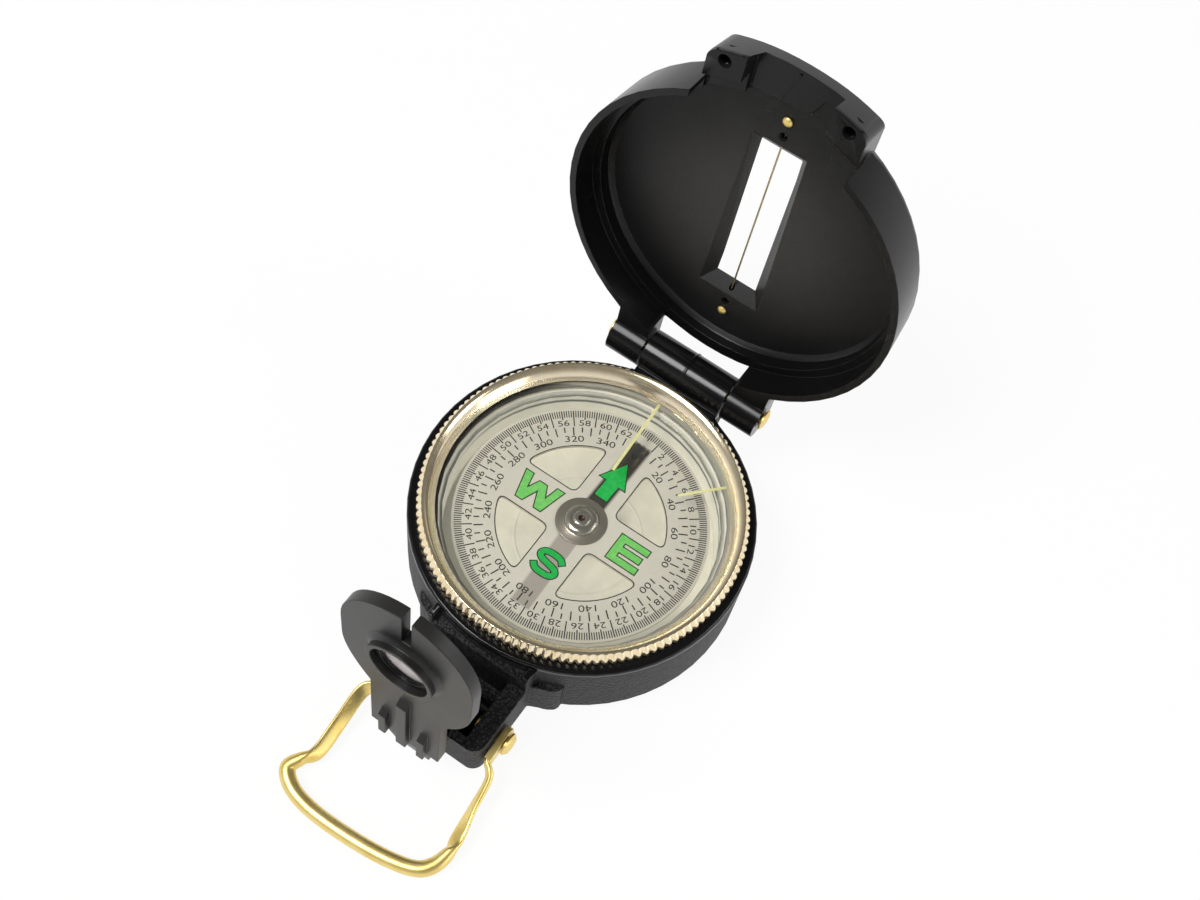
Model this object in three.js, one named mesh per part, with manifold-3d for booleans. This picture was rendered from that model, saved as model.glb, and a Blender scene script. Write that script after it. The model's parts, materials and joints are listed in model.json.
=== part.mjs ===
// Lensatic compass, shown open: case on the table, cover raised past upright, lens bracket up,
// thumb loop laid back. Millimetres, +Z up.
// The origin is the centre of the case's flat underside, on the dial axis.
// +Y runs along the line of sight, from the lens bracket towards the cover hinge, +X to the right of it.

import * as THREE from 'three';
import { mergeVertices } from 'three/addons/utils/BufferGeometryUtils.js';
import Module from 'manifold-3d';

// Clearances
const FIT = 0.15;
const RUN = 0.3;

// Dial and float
const DIAL_RADIUS = 21.4;
const DIAL_THICKNESS = 0.5;
const DIAL_WINDOW_SIDE = 3.95;
const DIAL_WINDOW_OUTER = 14.1;
const DIAL_WINDOW_CORNER = 1.2;
const BEARING_RADIUS = 4.2;
const BEARING_STEM_RADIUS = 2.4;
const BEARING_HEIGHT = 1.5;
const JEWEL_RADIUS = 1.1;
const MAGNET_LENGTH = 35;
const MAGNET_WIDTH = 4.6;
const MAGNET_THICKNESS = 1.2;
const MAGNET_EYE_RADIUS = 3.6;
const PIVOT_STEM_RADIUS = 0.7;
const PIVOT_FOOT_RADIUS = 2.6;
const PIVOT_FOOT_HEIGHT = 0.8;

// Capsule that holds the dial
const DIAL_EDGE_GAP = 1.5;
const CAPSULE_WALL = 1.1;
const CAPSULE_FLOOR = 1.4;
const CAPSULE_DEPTH_BELOW_DIAL = 5;
const CAPSULE_SEAT_WIDTH = 0.55;
const GASKET_THICKNESS = 0.3;
const LID_THICKNESS = 0.5;

// Case
const CASE_FLOOR = 3.4;
const CASE_RIM_WIDTH = 2.8;
const CASE_FOOT_CHAMFER = 0.8;
const CASE_RIM_CHAMFER = 0.35;

// Rotating bezel
const BEZEL_SKIRT_WALL = 1.1;
const BEZEL_SKIRT_LENGTH = 1.7;
const BEZEL_LEDGE_THICKNESS = 0.4;
const BEZEL_LEDGE_WIDTH = 1.1;
const BEZEL_SET_BACK = 1.5;
const BEZEL_BAND_HEIGHT = 1.2;
const BEZEL_CROWN_HEIGHT = 2.4;
const BEZEL_RIM_SET_BACK = 0.9;
const BEZEL_CONE_WIDTH = 2.2;
const BEZEL_LIP = 0.8;
const KNURL_COUNT = 120;
const KNURL_DEPTH = 0.38;
const CRYSTAL_THICKNESS = 0.7;
const SNAP_WIRE_RADIUS = 0.35;
const SNAP_GAP_ANGLE = 24;

// Tail of the case, with the two arms that carry the lens bracket and the thumb loop
const TAIL_LENGTH = 13.6;
const TAIL_HEIGHT = 9;
const TAIL_CORNER = 2.2;
const ARM_OUTER_HALF = 9.6;
const ARM_INNER_HALF = 6.4;
const TAIL_WALL = 1.7;
const RECESS_FLOOR = 1.8;
const LIP_DEPTH = 0.7;
const LIP_HEIGHT = 12;
const SHOULDER_HALF = 13.9;
const SHOULDER_REACH = 1.6;
const FIN_WIDTH = 1.1;
const FIN_HEIGHT = 14;

// Cover hinge
const HINGE_OFFSET = 2.84;
const HINGE_RAISE = 1.44;
const HINGE_BARREL_RADIUS = 3.6;
const HINGE_MIDDLE_HALF = 8.1;
const HINGE_OUTER_HALF = 14.65;
const HINGE_PIN_RADIUS = 1.1;
const HINGE_HEAD_RADIUS = 1.9;
const HINGE_HEAD_HEIGHT = 0.7;
const HINGE_BOSS_DROP = 5.4;
const COVER_OPEN_ANGLE = 95.2;

// Cover
const COVER_DEPTH = 9.6;
const COVER_WALL = 1.2;
const COVER_DRAFT = 0.7;
const COVER_EDGE = 1.6;
const COVER_FLOOR = 1.9;
const COVER_STEP_WIDTH = 1.5;
const COVER_STEP_DEPTH = 4.8;
const COVER_FILLET = 0.8;
const TAB_REACH = 4.9;
const TAB_BACK_REACH = 3.45;
const TAB_END_HEIGHT = 0.8;
const TAB_HALF = 12.7;
const TAB_BOW = 2.2;
const TAB_CORNER = 1.6;
const TAB_GAP_HALF = 6.8;
const EAR_HEIGHT = 4.9;
const EAR_HOLE_RADIUS = 1.05;
const EAR_HOLE_DEPTH = 2.2;
const EAR_HOLE_X = 9.9;
const EAR_HOLE_INSET = 2.9;
const EAR_CLEAR_RADIUS = 29.3;
const EAR_CLEAR_HEIGHT = 2.1;
const TAB_STEP_HEIGHT = 1;
const TAB_STEP_LENGTH = 8;
const TAB_STEP_RIGHT = 4.4;
const TAB_STEP_SLANT = 2;
const TAB_POCKET_INSET = 3.4;

// Sighting slot and wire
const SLOT_FAR_END = -17;
const SLOT_NEAR_END = 16.3;
const SLOT_FAR_HALF = 4.4;
const SLOT_NEAR_HALF = 5.2;
const SLOT_BACK_HALF = 3.25;
const SLOT_END_DRAFT = 2.2;
const WIRE_RADIUS = 0.16;
const WIRE_PIN_SHANK_RADIUS = 0.6;
const WIRE_PIN_HEAD_RADIUS = 0.8;
const WIRE_PIN_HEAD_HEIGHT = 0.55;
const WIRE_PIN_FAR_SET_BACK = 5.2;
const WIRE_PIN_NEAR_SET_BACK = 4.2;
const WIRE_PORT_RADIUS = 0.75;
const WIRE_PORT_SET_BACK = 2.1;

// Lens bracket
const BRACKET_PIVOT_BEHIND = 5.9;
const BRACKET_PIVOT_HEIGHT = 6.8;
const BRACKET_PIN_RADIUS = 0.8;
const BRACKET_PIN_SEAT = 2;
const BRACKET_BOSS_RADIUS = 1.7;
const BRACKET_LEAN = 2.2;
const BRACKET_REACH = 13.57;
const BRACKET_PLATE = 2;
const BRACKET_FOOT_LIFT = 7;
const BRACKET_FOOT_HALF = 6.2;
const BRACKET_FOOT_HEIGHT = 15;
const BRACKET_HEAD_HALF = 10.9;
const BRACKET_HEAD_LOW = 26;
const BRACKET_HEAD_HIGH = 31.4;
const BRACKET_CROWN = 11.7;
const BRACKET_LEG_HALF = 3.3;
const NOTCH_HALF = 0.75;
const NOTCH_DEPTH = 6.9;
const RIB_DEPTH = 1.05;
const RIB_SPACING = 3.5;
const RIB_SIDE_WIDTH = 1.3;
const RIB_SIDE_HEIGHT = 7.5;
const RIB_MIDDLE_WIDTH = 1.8;
const RIB_MIDDLE_HEIGHT = 16;
const LENS_HEIGHT = 29.6;
const LENS_RADIUS = 4.6;
const LENS_EDGE = 0.9;
const LENS_BULGE = 0.45;
const LENS_LIP = 0.6;
const LENS_APERTURE = 3.75;
const RETAINER_THICKNESS = 0.7;
const COLLAR_HEIGHT = 1.7;
const COLLAR_RADIUS = 5.5;
const COLLAR_BASE_RADIUS = 6.6;

// Thumb loop
const LOOP_PIVOT_BEHIND = 7.9;
const LOOP_PIVOT_HEIGHT = 4.7;
const LOOP_WIRE_RADIUS = 1.2;
const LOOP_LENGTH = 26.1;
const LOOP_JOG = 2.2;
const LOOP_LEG_HALF = 12.3;
const LOOP_RIGHT_HALF = 14.1;
const LOOP_RIGHT_CORNER = 19;
const LOOP_LEFT_HALF = 14.5;
const LOOP_LEFT_CORNER = 22.8;
const RIGHT_BEND_INSETS = [0.5, 2.7];
const RIGHT_BEND_RISES = [3.7, 1.5];
const LEFT_BEND_INSET = 2.6;
const LEFT_BEND_RISE = 1;
const LEFT_JOG_INSET = 0.9;
const BAR_RIGHT_RISE = 0.6;
const BAR_MIDDLE_RISE = 0.1;
const LEG_WIDTH = 2.6;
const LEG_THICKNESS = 0.8;
const LEG_RIGHT_SPREAD = 1.4;
const LEG_RIGHT_END = 16.8;
const LEG_RIGHT_TWIST = [11, 30, 58];
const LEG_LEFT_SPREAD = -0.2;
const LEG_LEFT_END = 18.1;
const LEG_LEFT_TWIST = [45, 46, 44];
const PINCH = 0.8;
const STRAP_THICKNESS = 1.2;
const STRAP_WIDTH = 3.4;
const STRAP_LENGTH = 4;
const STRAP_END = 2.4;
const STRAP_CORNER = 1.1;
const STRAP_SPARE = 0.1;
const RIVET_RADIUS = 0.9;
const RIVET_HEAD_RADIUS = 2;
const RIVET_HEAD_HEIGHT = 1.1;
const RIVET_TAIL_RADIUS = 1.5;
const RIVET_TAIL_HEIGHT = 0.6;

// Roundness of turned pieces
const FINE = 56;
const MEDIUM = 30;
const COARSE = 16;

// Radii that follow from the dial outwards
const capsuleInner = DIAL_RADIUS + DIAL_EDGE_GAP;
const capsuleOuter = capsuleInner + CAPSULE_WALL;
const capsuleSeatRadius = capsuleInner + CAPSULE_SEAT_WIDTH;
const skirtInner = capsuleOuter + RUN;
const skirtOuter = skirtInner + BEZEL_SKIRT_WALL;
const boreRadius = skirtOuter + RUN;
const bodyRadius = boreRadius + CASE_RIM_WIDTH;
const bezelRadius = bodyRadius - BEZEL_SET_BACK;
const snapRadius = (boreRadius + skirtOuter) / 2;
const snapGroove = SNAP_WIRE_RADIUS + RUN;

// Heights that follow from the case floor upwards
const capsuleBottom = CASE_FLOOR + FIT;
const capsuleFloorTop = capsuleBottom + CAPSULE_FLOOR;
const dialBottom = capsuleFloorTop + CAPSULE_DEPTH_BELOW_DIAL;
const dialTop = dialBottom + DIAL_THICKNESS;
const seatHeight = dialTop + BEARING_HEIGHT;
const gasketBottom = seatHeight + FIT;
const lidBottom = gasketBottom + GASKET_THICKNESS + FIT;
const capsuleTop = lidBottom + LID_THICKNESS;
const ledgeBottom = capsuleTop + RUN;
const ledgeTop = ledgeBottom + BEZEL_LEDGE_THICKNESS;
const crystalGasketBottom = ledgeTop + FIT;
const crystalBottom = crystalGasketBottom + GASKET_THICKNESS + FIT;
const crystalTop = crystalBottom + CRYSTAL_THICKNESS;
const crownBottom = crystalTop + FIT;
const crownTop = crownBottom + BEZEL_CROWN_HEIGHT;
const bodyHeight = crownBottom - RUN;
const skirtBottom = ledgeBottom - BEZEL_SKIRT_LENGTH;
const boreBottom = skirtBottom - RUN;
const snapHeight = (skirtBottom + ledgeBottom) / 2;

// Places along the line of sight
const tailRear = -(bodyRadius + TAIL_LENGTH);
const lipRear = -(bodyRadius + LIP_DEPTH);
const hingeY = bodyRadius + HINGE_OFFSET;
const hingeZ = bodyHeight + HINGE_RAISE;
const bracketPivotY = -(bodyRadius + BRACKET_PIVOT_BEHIND);
const loopPivotY = -(bodyRadius + LOOP_PIVOT_BEHIND);

const wasm = await Module();
wasm.setup();

// A closed three.js geometry as a solid that can be joined and cut
function solid(geometry) {
  const bare = geometry.clone();
  bare.deleteAttribute('normal');
  bare.deleteAttribute('uv');
  const merged = mergeVertices(bare, 1e-4);
  const corners = merged.index.array;
  const triangles = [];
  for (let i = 0; i < corners.length; i += 3) {
    const [a, b, c] = corners.slice(i, i + 3);
    if (a !== b && b !== c && c !== a) triangles.push(a, b, c);
  }
  return new wasm.Manifold(new wasm.Mesh({
    numProp: 3,
    vertProperties: new Float32Array(merged.attributes.position.array),
    triVerts: new Uint32Array(triangles),
  }));
}

// A named mesh of one solid
function piece(name, body, material) {
  const { vertProperties, triVerts } = body.getMesh();
  const geometry = new THREE.BufferGeometry();
  geometry.setAttribute('position', new THREE.BufferAttribute(vertProperties, 3));
  geometry.setIndex(new THREE.BufferAttribute(triVerts, 1));
  geometry.computeVertexNormals();
  const mesh = new THREE.Mesh(geometry, material);
  mesh.name = name;
  return mesh;
}

// A profile of [radius, height] points, listed outside upwards, turned about Z
function turnedGeometry(profile, segments) {
  const points = profile.map(([radius, height]) => new THREE.Vector2(radius, height));
  return new THREE.LatheGeometry(points, segments).rotateX(Math.PI / 2);
}

function turned(profile, segments = FINE) {
  return solid(turnedGeometry(profile, segments));
}

function disc(radius, bottom, top, segments = FINE) {
  return turned([[0, bottom], [radius, bottom], [radius, top], [0, top]], segments);
}

function ring(inner, outer, bottom, top, segments = FINE) {
  const corners = [[inner, bottom], [outer, bottom], [outer, top], [inner, top]];
  return turned([...corners, corners[0]], segments);
}

// A turned profile laid along X, its heights becoming X
function turnedAlongX(profile, y, z, segments = COARSE) {
  return solid(turnedGeometry(profile, segments).rotateY(Math.PI / 2).translate(0, y, z));
}

function rod(radius, from, to, y, z, segments = COARSE) {
  return turnedAlongX([[0, from], [radius, from], [radius, to], [0, to]], y, z, segments);
}

function block(xLow, xHigh, yLow, yHigh, zLow, zHigh) {
  const box = new THREE.BoxGeometry(xHigh - xLow, yHigh - yLow, zHigh - zLow);
  return solid(box.translate((xLow + xHigh) / 2, (yLow + yHigh) / 2, (zLow + zHigh) / 2));
}

// An outline in the XY plane raised from one height to another
function raised(shape, bottom, top, curveSegments = 12) {
  const depth = top - bottom;
  const geometry = new THREE.ExtrudeGeometry(shape, { depth, bevelEnabled: false, curveSegments });
  return solid(geometry.translate(0, 0, bottom));
}

// An outline of [y, z] points carried along X
const SIDEWAYS = new THREE.Matrix4().makeBasis(
  new THREE.Vector3(0, 1, 0), new THREE.Vector3(0, 0, 1), new THREE.Vector3(1, 0, 0));

function sideways(shape, from, to, curveSegments = 12) {
  const depth = to - from;
  const geometry = new THREE.ExtrudeGeometry(shape, { depth, bevelEnabled: false, curveSegments });
  return solid(geometry.applyMatrix4(SIDEWAYS).translate(from, 0, 0));
}

function outline(points) {
  return new THREE.Shape(points.map(([x, y]) => new THREE.Vector2(x, y)));
}

function joined(...bodies) {
  return bodies.reduce((sum, body) => sum.add(body));
}

function cut(body, ...tools) {
  return tools.reduce((rest, tool) => rest.subtract(tool), body);
}

const plastic = (color, roughness) => new THREE.MeshStandardMaterial({ color, roughness, metalness: 0 });
const metal = (color, roughness) => new THREE.MeshStandardMaterial({ color, roughness, metalness: 1 });
const clear = (color) => new THREE.MeshStandardMaterial({
  color, roughness: 0.05, transparent: true, opacity: 0.3,
});

// Case: turned body with the bezel bore and the capsule pocket, the tail with its two arms,
// and the middle knuckle of the hinge
function buildCase() {
  const body = turned([
    [0, 0], [bodyRadius - CASE_FOOT_CHAMFER, 0], [bodyRadius, CASE_FOOT_CHAMFER],
    [bodyRadius, bodyHeight - CASE_RIM_CHAMFER], [bodyRadius - CASE_RIM_CHAMFER, bodyHeight], [0, bodyHeight],
  ]);
  const hollow = turned([
    [0, CASE_FLOOR], [skirtInner, CASE_FLOOR], [skirtInner, boreBottom], [boreRadius, boreBottom],
    [boreRadius, snapHeight - snapGroove], [snapRadius + snapGroove, snapHeight - snapGroove],
    [snapRadius + snapGroove, snapHeight + snapGroove], [boreRadius, snapHeight + snapGroove],
    [boreRadius, bodyHeight + 1], [0, bodyHeight + 1],
  ]);

  const shoulderY = -Math.sqrt(bodyRadius ** 2 - SHOULDER_HALF ** 2);
  const tail = new THREE.Shape();
  tail.moveTo(SHOULDER_HALF, shoulderY + SHOULDER_REACH);
  tail.lineTo(SHOULDER_HALF, shoulderY);
  tail.quadraticCurveTo(SHOULDER_HALF, shoulderY - SHOULDER_REACH, ARM_OUTER_HALF + SHOULDER_REACH,
    shoulderY - 1.5 * SHOULDER_REACH);
  tail.lineTo(ARM_OUTER_HALF, shoulderY - 2 * SHOULDER_REACH);
  tail.lineTo(ARM_OUTER_HALF, tailRear + TAIL_CORNER);
  const turnX = ARM_OUTER_HALF - TAIL_CORNER;
  const turnY = tailRear + TAIL_CORNER;
  tail.absarc(turnX, turnY, TAIL_CORNER, 0, -Math.PI / 2, true);
  tail.absarc(-turnX, turnY, TAIL_CORNER, -Math.PI / 2, -Math.PI, true);
  tail.lineTo(-ARM_OUTER_HALF, shoulderY - 2 * SHOULDER_REACH);
  tail.lineTo(-ARM_OUTER_HALF - SHOULDER_REACH, shoulderY - 1.5 * SHOULDER_REACH);
  tail.quadraticCurveTo(-SHOULDER_HALF, shoulderY - SHOULDER_REACH, -SHOULDER_HALF, shoulderY);
  tail.lineTo(-SHOULDER_HALF, shoulderY + SHOULDER_REACH);

  const wallMiddle = -(boreRadius + bodyRadius) / 2;
  const lip = block(-ARM_OUTER_HALF + RUN, ARM_OUTER_HALF - RUN, lipRear, wallMiddle, 0, LIP_HEIGHT);
  const finFront = -Math.sqrt((bodyRadius - CASE_RIM_WIDTH / 3) ** 2 - ARM_OUTER_HALF ** 2);
  const fins = [-1, 1].map((side) => {
    const inner = side * (ARM_OUTER_HALF - FIN_WIDTH);
    const outer = side * ARM_OUTER_HALF;
    return block(Math.min(inner, outer), Math.max(inner, outer), lipRear, finFront, 0, FIN_HEIGHT);
  });
  const recessRear = tailRear + TAIL_WALL;
  const recess = block(-ARM_INNER_HALF, ARM_INNER_HALF, recessRear, lipRear, RECESS_FLOOR, FIN_HEIGHT);
  const legSlot = BRACKET_LEG_HALF + RUN;
  const legRest = BRACKET_PIVOT_HEIGHT - BRACKET_BOSS_RADIUS;
  const slot = block(-legSlot, legSlot, tailRear - 1, recessRear + 1, legRest, FIN_HEIGHT);

  const bossBottom = bodyHeight - HINGE_BOSS_DROP;
  const boss = outline([
    [-wallMiddle, bossBottom], [bodyRadius + HINGE_OFFSET / 2, bossBottom],
    [hingeY + HINGE_BARREL_RADIUS * 0.9, hingeZ - HINGE_BARREL_RADIUS * 0.4], [hingeY, hingeZ],
    [bodyRadius, bodyHeight], [-wallMiddle, bodyHeight],
  ]);
  const knuckle = joined(
    sideways(boss, -HINGE_MIDDLE_HALF, HINGE_MIDDLE_HALF),
    rod(HINGE_BARREL_RADIUS, -HINGE_MIDDLE_HALF, HINGE_MIDDLE_HALF, hingeY, hingeZ, MEDIUM),
  );
  const hingeBore = rod(HINGE_PIN_RADIUS + RUN, -HINGE_OUTER_HALF, HINGE_OUTER_HALF, hingeY, hingeZ);

  const pinReach = ARM_INNER_HALF + BRACKET_PIN_SEAT + FIT;
  const pinHoles = rod(BRACKET_PIN_RADIUS + FIT, -pinReach, pinReach, bracketPivotY, BRACKET_PIVOT_HEIGHT);
  const rivetReach = ARM_OUTER_HALF + 1;
  const rivetHoles = rod(RIVET_RADIUS + FIT, -rivetReach, rivetReach, loopPivotY, LOOP_PIVOT_HEIGHT);
  const outside = joined(body, raised(tail, 0, TAIL_HEIGHT, 6), lip, ...fins, knuckle);
  return cut(outside, hollow, recess, slot, hingeBore, pinHoles, rivetHoles);
}

// Capsule: bowl, flat gasket and clear lid
function buildCapsuleBowl() {
  return turned([
    [0, capsuleBottom], [capsuleOuter, capsuleBottom], [capsuleOuter, capsuleTop],
    [capsuleSeatRadius, capsuleTop], [capsuleSeatRadius, seatHeight], [capsuleInner, seatHeight],
    [capsuleInner, capsuleFloorTop], [0, capsuleFloorTop],
  ]);
}

function buildCapsuleGasket() {
  return ring(capsuleInner, capsuleSeatRadius - FIT, gasketBottom, gasketBottom + GASKET_THICKNESS, MEDIUM);
}

function buildCapsuleLid() {
  return disc(capsuleSeatRadius - FIT, lidBottom, lidBottom + LID_THICKNESS);
}

// Pivot needle: turned foot on the bowl's floor, stem, and a point in the jewel's cup
function buildPivotPost() {
  const foot = capsuleFloorTop + FIT;
  return turned([
    [0, foot], [PIVOT_FOOT_RADIUS, foot], [PIVOT_FOOT_RADIUS, foot + PIVOT_FOOT_HEIGHT],
    [PIVOT_STEM_RADIUS, foot + PIVOT_FOOT_HEIGHT], [PIVOT_STEM_RADIUS, dialBottom], [0, dialTop],
  ], COARSE);
}

// Dial card: round card with four windows between the cardinal points, their sides along the axes
function dialWindow() {
  const side = DIAL_WINDOW_SIDE;
  const corner = DIAL_WINDOW_CORNER;
  const reach = Math.sqrt(DIAL_WINDOW_OUTER ** 2 - side ** 2);
  const start = Math.atan2(side, reach) + corner / DIAL_WINDOW_OUTER;
  const end = Math.PI / 2 - start;
  const window = new THREE.Shape();
  window.moveTo(side + corner, side);
  window.lineTo(reach - corner, side);
  window.quadraticCurveTo(
    reach, side, DIAL_WINDOW_OUTER * Math.cos(start), DIAL_WINDOW_OUTER * Math.sin(start));
  window.absarc(0, 0, DIAL_WINDOW_OUTER, start, end, false);
  window.quadraticCurveTo(side, reach, side, reach - corner);
  window.lineTo(side, side + corner);
  window.quadraticCurveTo(side, side, side + corner, side);
  return window;
}

function buildDialCard() {
  const card = disc(DIAL_RADIUS, dialBottom, dialTop);
  const eye = disc(BEARING_STEM_RADIUS + FIT, dialBottom - 1, dialTop + 1, COARSE);
  const window = raised(dialWindow(), dialBottom - 1, dialTop + 1, 5);
  const windows = [0, 90, 180, 270].map((turn) => window.rotate([0, 0, turn]));
  return cut(card, eye, ...windows);
}

// Magnet: flat bar under the card, with a round eye bored for the bearing's stem
function buildMagnetBar() {
  const top = dialBottom - FIT;
  const bottom = top - MAGNET_THICKNESS;
  const bar = block(-MAGNET_WIDTH / 2, MAGNET_WIDTH / 2, -MAGNET_LENGTH / 2, MAGNET_LENGTH / 2, bottom, top);
  const eye = disc(MAGNET_EYE_RADIUS, bottom, top, MEDIUM);
  return cut(joined(bar, eye), disc(BEARING_STEM_RADIUS + FIT, bottom - 1, top + 1, COARSE));
}

// Bearing: stepped metal cap on the card, its hollow stem passing through card and magnet
function buildBearingCap() {
  const seat = dialTop + FIT;
  const stemBottom = dialBottom - FIT - MAGNET_THICKNESS;
  const cupTop = dialTop + BEARING_HEIGHT / 2 + FIT;
  const bore = JEWEL_RADIUS + FIT;
  return turned([
    [bore, stemBottom], [BEARING_STEM_RADIUS, stemBottom], [BEARING_STEM_RADIUS, seat],
    [BEARING_RADIUS, seat], [BEARING_RADIUS, seat + BEARING_HEIGHT * 0.2],
    [BEARING_RADIUS * 0.8, seat + BEARING_HEIGHT * 0.35],
    [BEARING_RADIUS * 0.72, seat + BEARING_HEIGHT * 0.62],
    [BEARING_RADIUS * 0.42, seat + BEARING_HEIGHT * 0.78],
    [BEARING_RADIUS * 0.36, seat + BEARING_HEIGHT * 0.94],
    [0, seat + BEARING_HEIGHT], [0, cupTop], [bore, cupTop], [bore, stemBottom],
  ], MEDIUM);
}

// Jewel: cup that runs on the needle's point
function buildJewel() {
  const top = dialTop + BEARING_HEIGHT / 2;
  const bottom = dialBottom;
  const cup = dialTop + RUN;
  return turned([
    [0, cup], [PIVOT_STEM_RADIUS + FIT, bottom], [JEWEL_RADIUS, bottom], [JEWEL_RADIUS, top], [0, top],
  ], COARSE);
}

// Bezel: knurled crown with its lip rolled over the crystal, on a plain skirt that runs in the case bore
function buildBezelRing() {
  const topInner = bezelRadius - BEZEL_RIM_SET_BACK;
  const coneFoot = topInner - BEZEL_CONE_WIDTH;
  const columns = 2 * KNURL_COUNT;
  const crownProfile = [
    [coneFoot, crownBottom], [bezelRadius, crownBottom], [bezelRadius, crownBottom + BEZEL_BAND_HEIGHT],
    [topInner, crownTop], [coneFoot, crownBottom],
  ];
  const crown = turnedGeometry(crownProfile, columns);
  const place = crown.attributes.position;
  const ribbed = bezelRadius - KNURL_DEPTH;
  for (let i = 0; i < place.count; i += 1) {
    const radius = Math.hypot(place.getX(i), place.getY(i));
    const column = Math.round(Math.atan2(place.getY(i), place.getX(i)) / (2 * Math.PI) * columns);
    if (radius > ribbed && column % 2 !== 0) {
      place.setXY(i, place.getX(i) * ribbed / radius, place.getY(i) * ribbed / radius);
    }
  }
  const seat = coneFoot + BEZEL_LIP;
  const grooveRadius = snapRadius - snapGroove;
  const buried = crownBottom + BEZEL_BAND_HEIGHT / 2;
  const skirt = turned([
    [skirtInner, skirtBottom], [skirtOuter, skirtBottom], [skirtOuter, snapHeight - snapGroove],
    [grooveRadius, snapHeight - snapGroove], [grooveRadius, snapHeight + snapGroove],
    [skirtOuter, snapHeight + snapGroove], [skirtOuter, buried], [(seat + skirtOuter) / 2, buried],
    [seat, crownBottom], [seat, ledgeTop], [seat - BEZEL_LEDGE_WIDTH, ledgeTop],
    [seat - BEZEL_LEDGE_WIDTH, ledgeBottom], [skirtInner, ledgeBottom], [skirtInner, skirtBottom],
  ], MEDIUM);
  return { body: joined(solid(crown), skirt), seat };
}

// Spring wire ring, open at one place, half in the case and half in the bezel's skirt
function buildSnapRing() {
  const open = THREE.MathUtils.degToRad(SNAP_GAP_ANGLE / 2);
  const path = new THREE.Curve();
  path.getPoint = (t, target = new THREE.Vector3()) => {
    const angle = open + t * 2 * (Math.PI - open);
    return target.set(snapRadius * Math.cos(angle), snapRadius * Math.sin(angle), snapHeight);
  };
  const section = new THREE.Shape().absarc(0, 0, SNAP_WIRE_RADIUS, 0, 2 * Math.PI, false);
  return solid(new THREE.ExtrudeGeometry(section, { steps: MEDIUM, curveSegments: 3, extrudePath: path }));
}

// Hinge pin: rod through all three knuckles, with a domed head at each end
function buildHingePin() {
  const end = HINGE_OUTER_HALF + RUN;
  const rim = end + HINGE_HEAD_HEIGHT * 0.35;
  const tip = end + HINGE_HEAD_HEIGHT;
  return turnedAlongX([
    [0, -tip], [HINGE_HEAD_RADIUS * 0.6, -tip + HINGE_HEAD_HEIGHT * 0.2], [HINGE_HEAD_RADIUS, -rim],
    [HINGE_HEAD_RADIUS, -end], [HINGE_PIN_RADIUS, -end], [HINGE_PIN_RADIUS, end], [HINGE_HEAD_RADIUS, end],
    [HINGE_HEAD_RADIUS, rim], [HINGE_HEAD_RADIUS * 0.6, tip - HINGE_HEAD_HEIGHT * 0.2], [0, tip],
  ], hingeY, hingeZ);
}

// Cover, drawn closed: rim down on the case, back up
const coverRim = bodyHeight + RUN;
const coverBack = coverRim + COVER_DEPTH;
const coverFloor = coverBack - COVER_FLOOR;
const wireHeight = coverFloor + COVER_FLOOR / 2;
const farPinY = SLOT_FAR_END - WIRE_PIN_FAR_SET_BACK;
const nearPinY = SLOT_NEAR_END + WIRE_PIN_NEAR_SET_BACK;

function coverTabOutline(reach) {
  const far = -(bodyRadius + reach);
  const side = far + TAB_BOW;
  const root = -(bodyRadius - 4 * COVER_WALL);
  const tab = new THREE.Shape();
  tab.moveTo(TAB_HALF, root);
  tab.lineTo(TAB_HALF, side + TAB_CORNER);
  tab.quadraticCurveTo(TAB_HALF, side, TAB_HALF - TAB_CORNER, side - TAB_CORNER * 0.3);
  tab.quadraticCurveTo(TAB_HALF / 2, far, 0, far);
  tab.quadraticCurveTo(-TAB_HALF / 2, far, -TAB_HALF + TAB_CORNER, side - TAB_CORNER * 0.3);
  tab.quadraticCurveTo(-TAB_HALF, side, -TAB_HALF, side + TAB_CORNER);
  tab.lineTo(-TAB_HALF, root);
  return tab;
}

function sightingSlot() {
  const depth = COVER_FLOOR + 2 * RUN;
  const flare = depth / COVER_FLOOR;
  const box = new THREE.BoxGeometry(2, 2, 2);
  const place = box.attributes.position;
  for (let i = 0; i < place.count; i += 1) {
    const back = place.getZ(i) > 0;
    const near = place.getY(i) > 0;
    const frontHalf = near ? SLOT_NEAR_HALF : SLOT_FAR_HALF;
    const half = back ? SLOT_BACK_HALF : SLOT_BACK_HALF + (frontHalf - SLOT_BACK_HALF) * flare;
    const draft = back ? SLOT_END_DRAFT : SLOT_END_DRAFT * (1 - flare);
    const end = near ? SLOT_NEAR_END - draft : SLOT_FAR_END + draft;
    place.setXYZ(i, place.getX(i) * half, end, back ? coverBack + RUN : coverFloor - RUN);
  }
  return solid(box);
}

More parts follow.
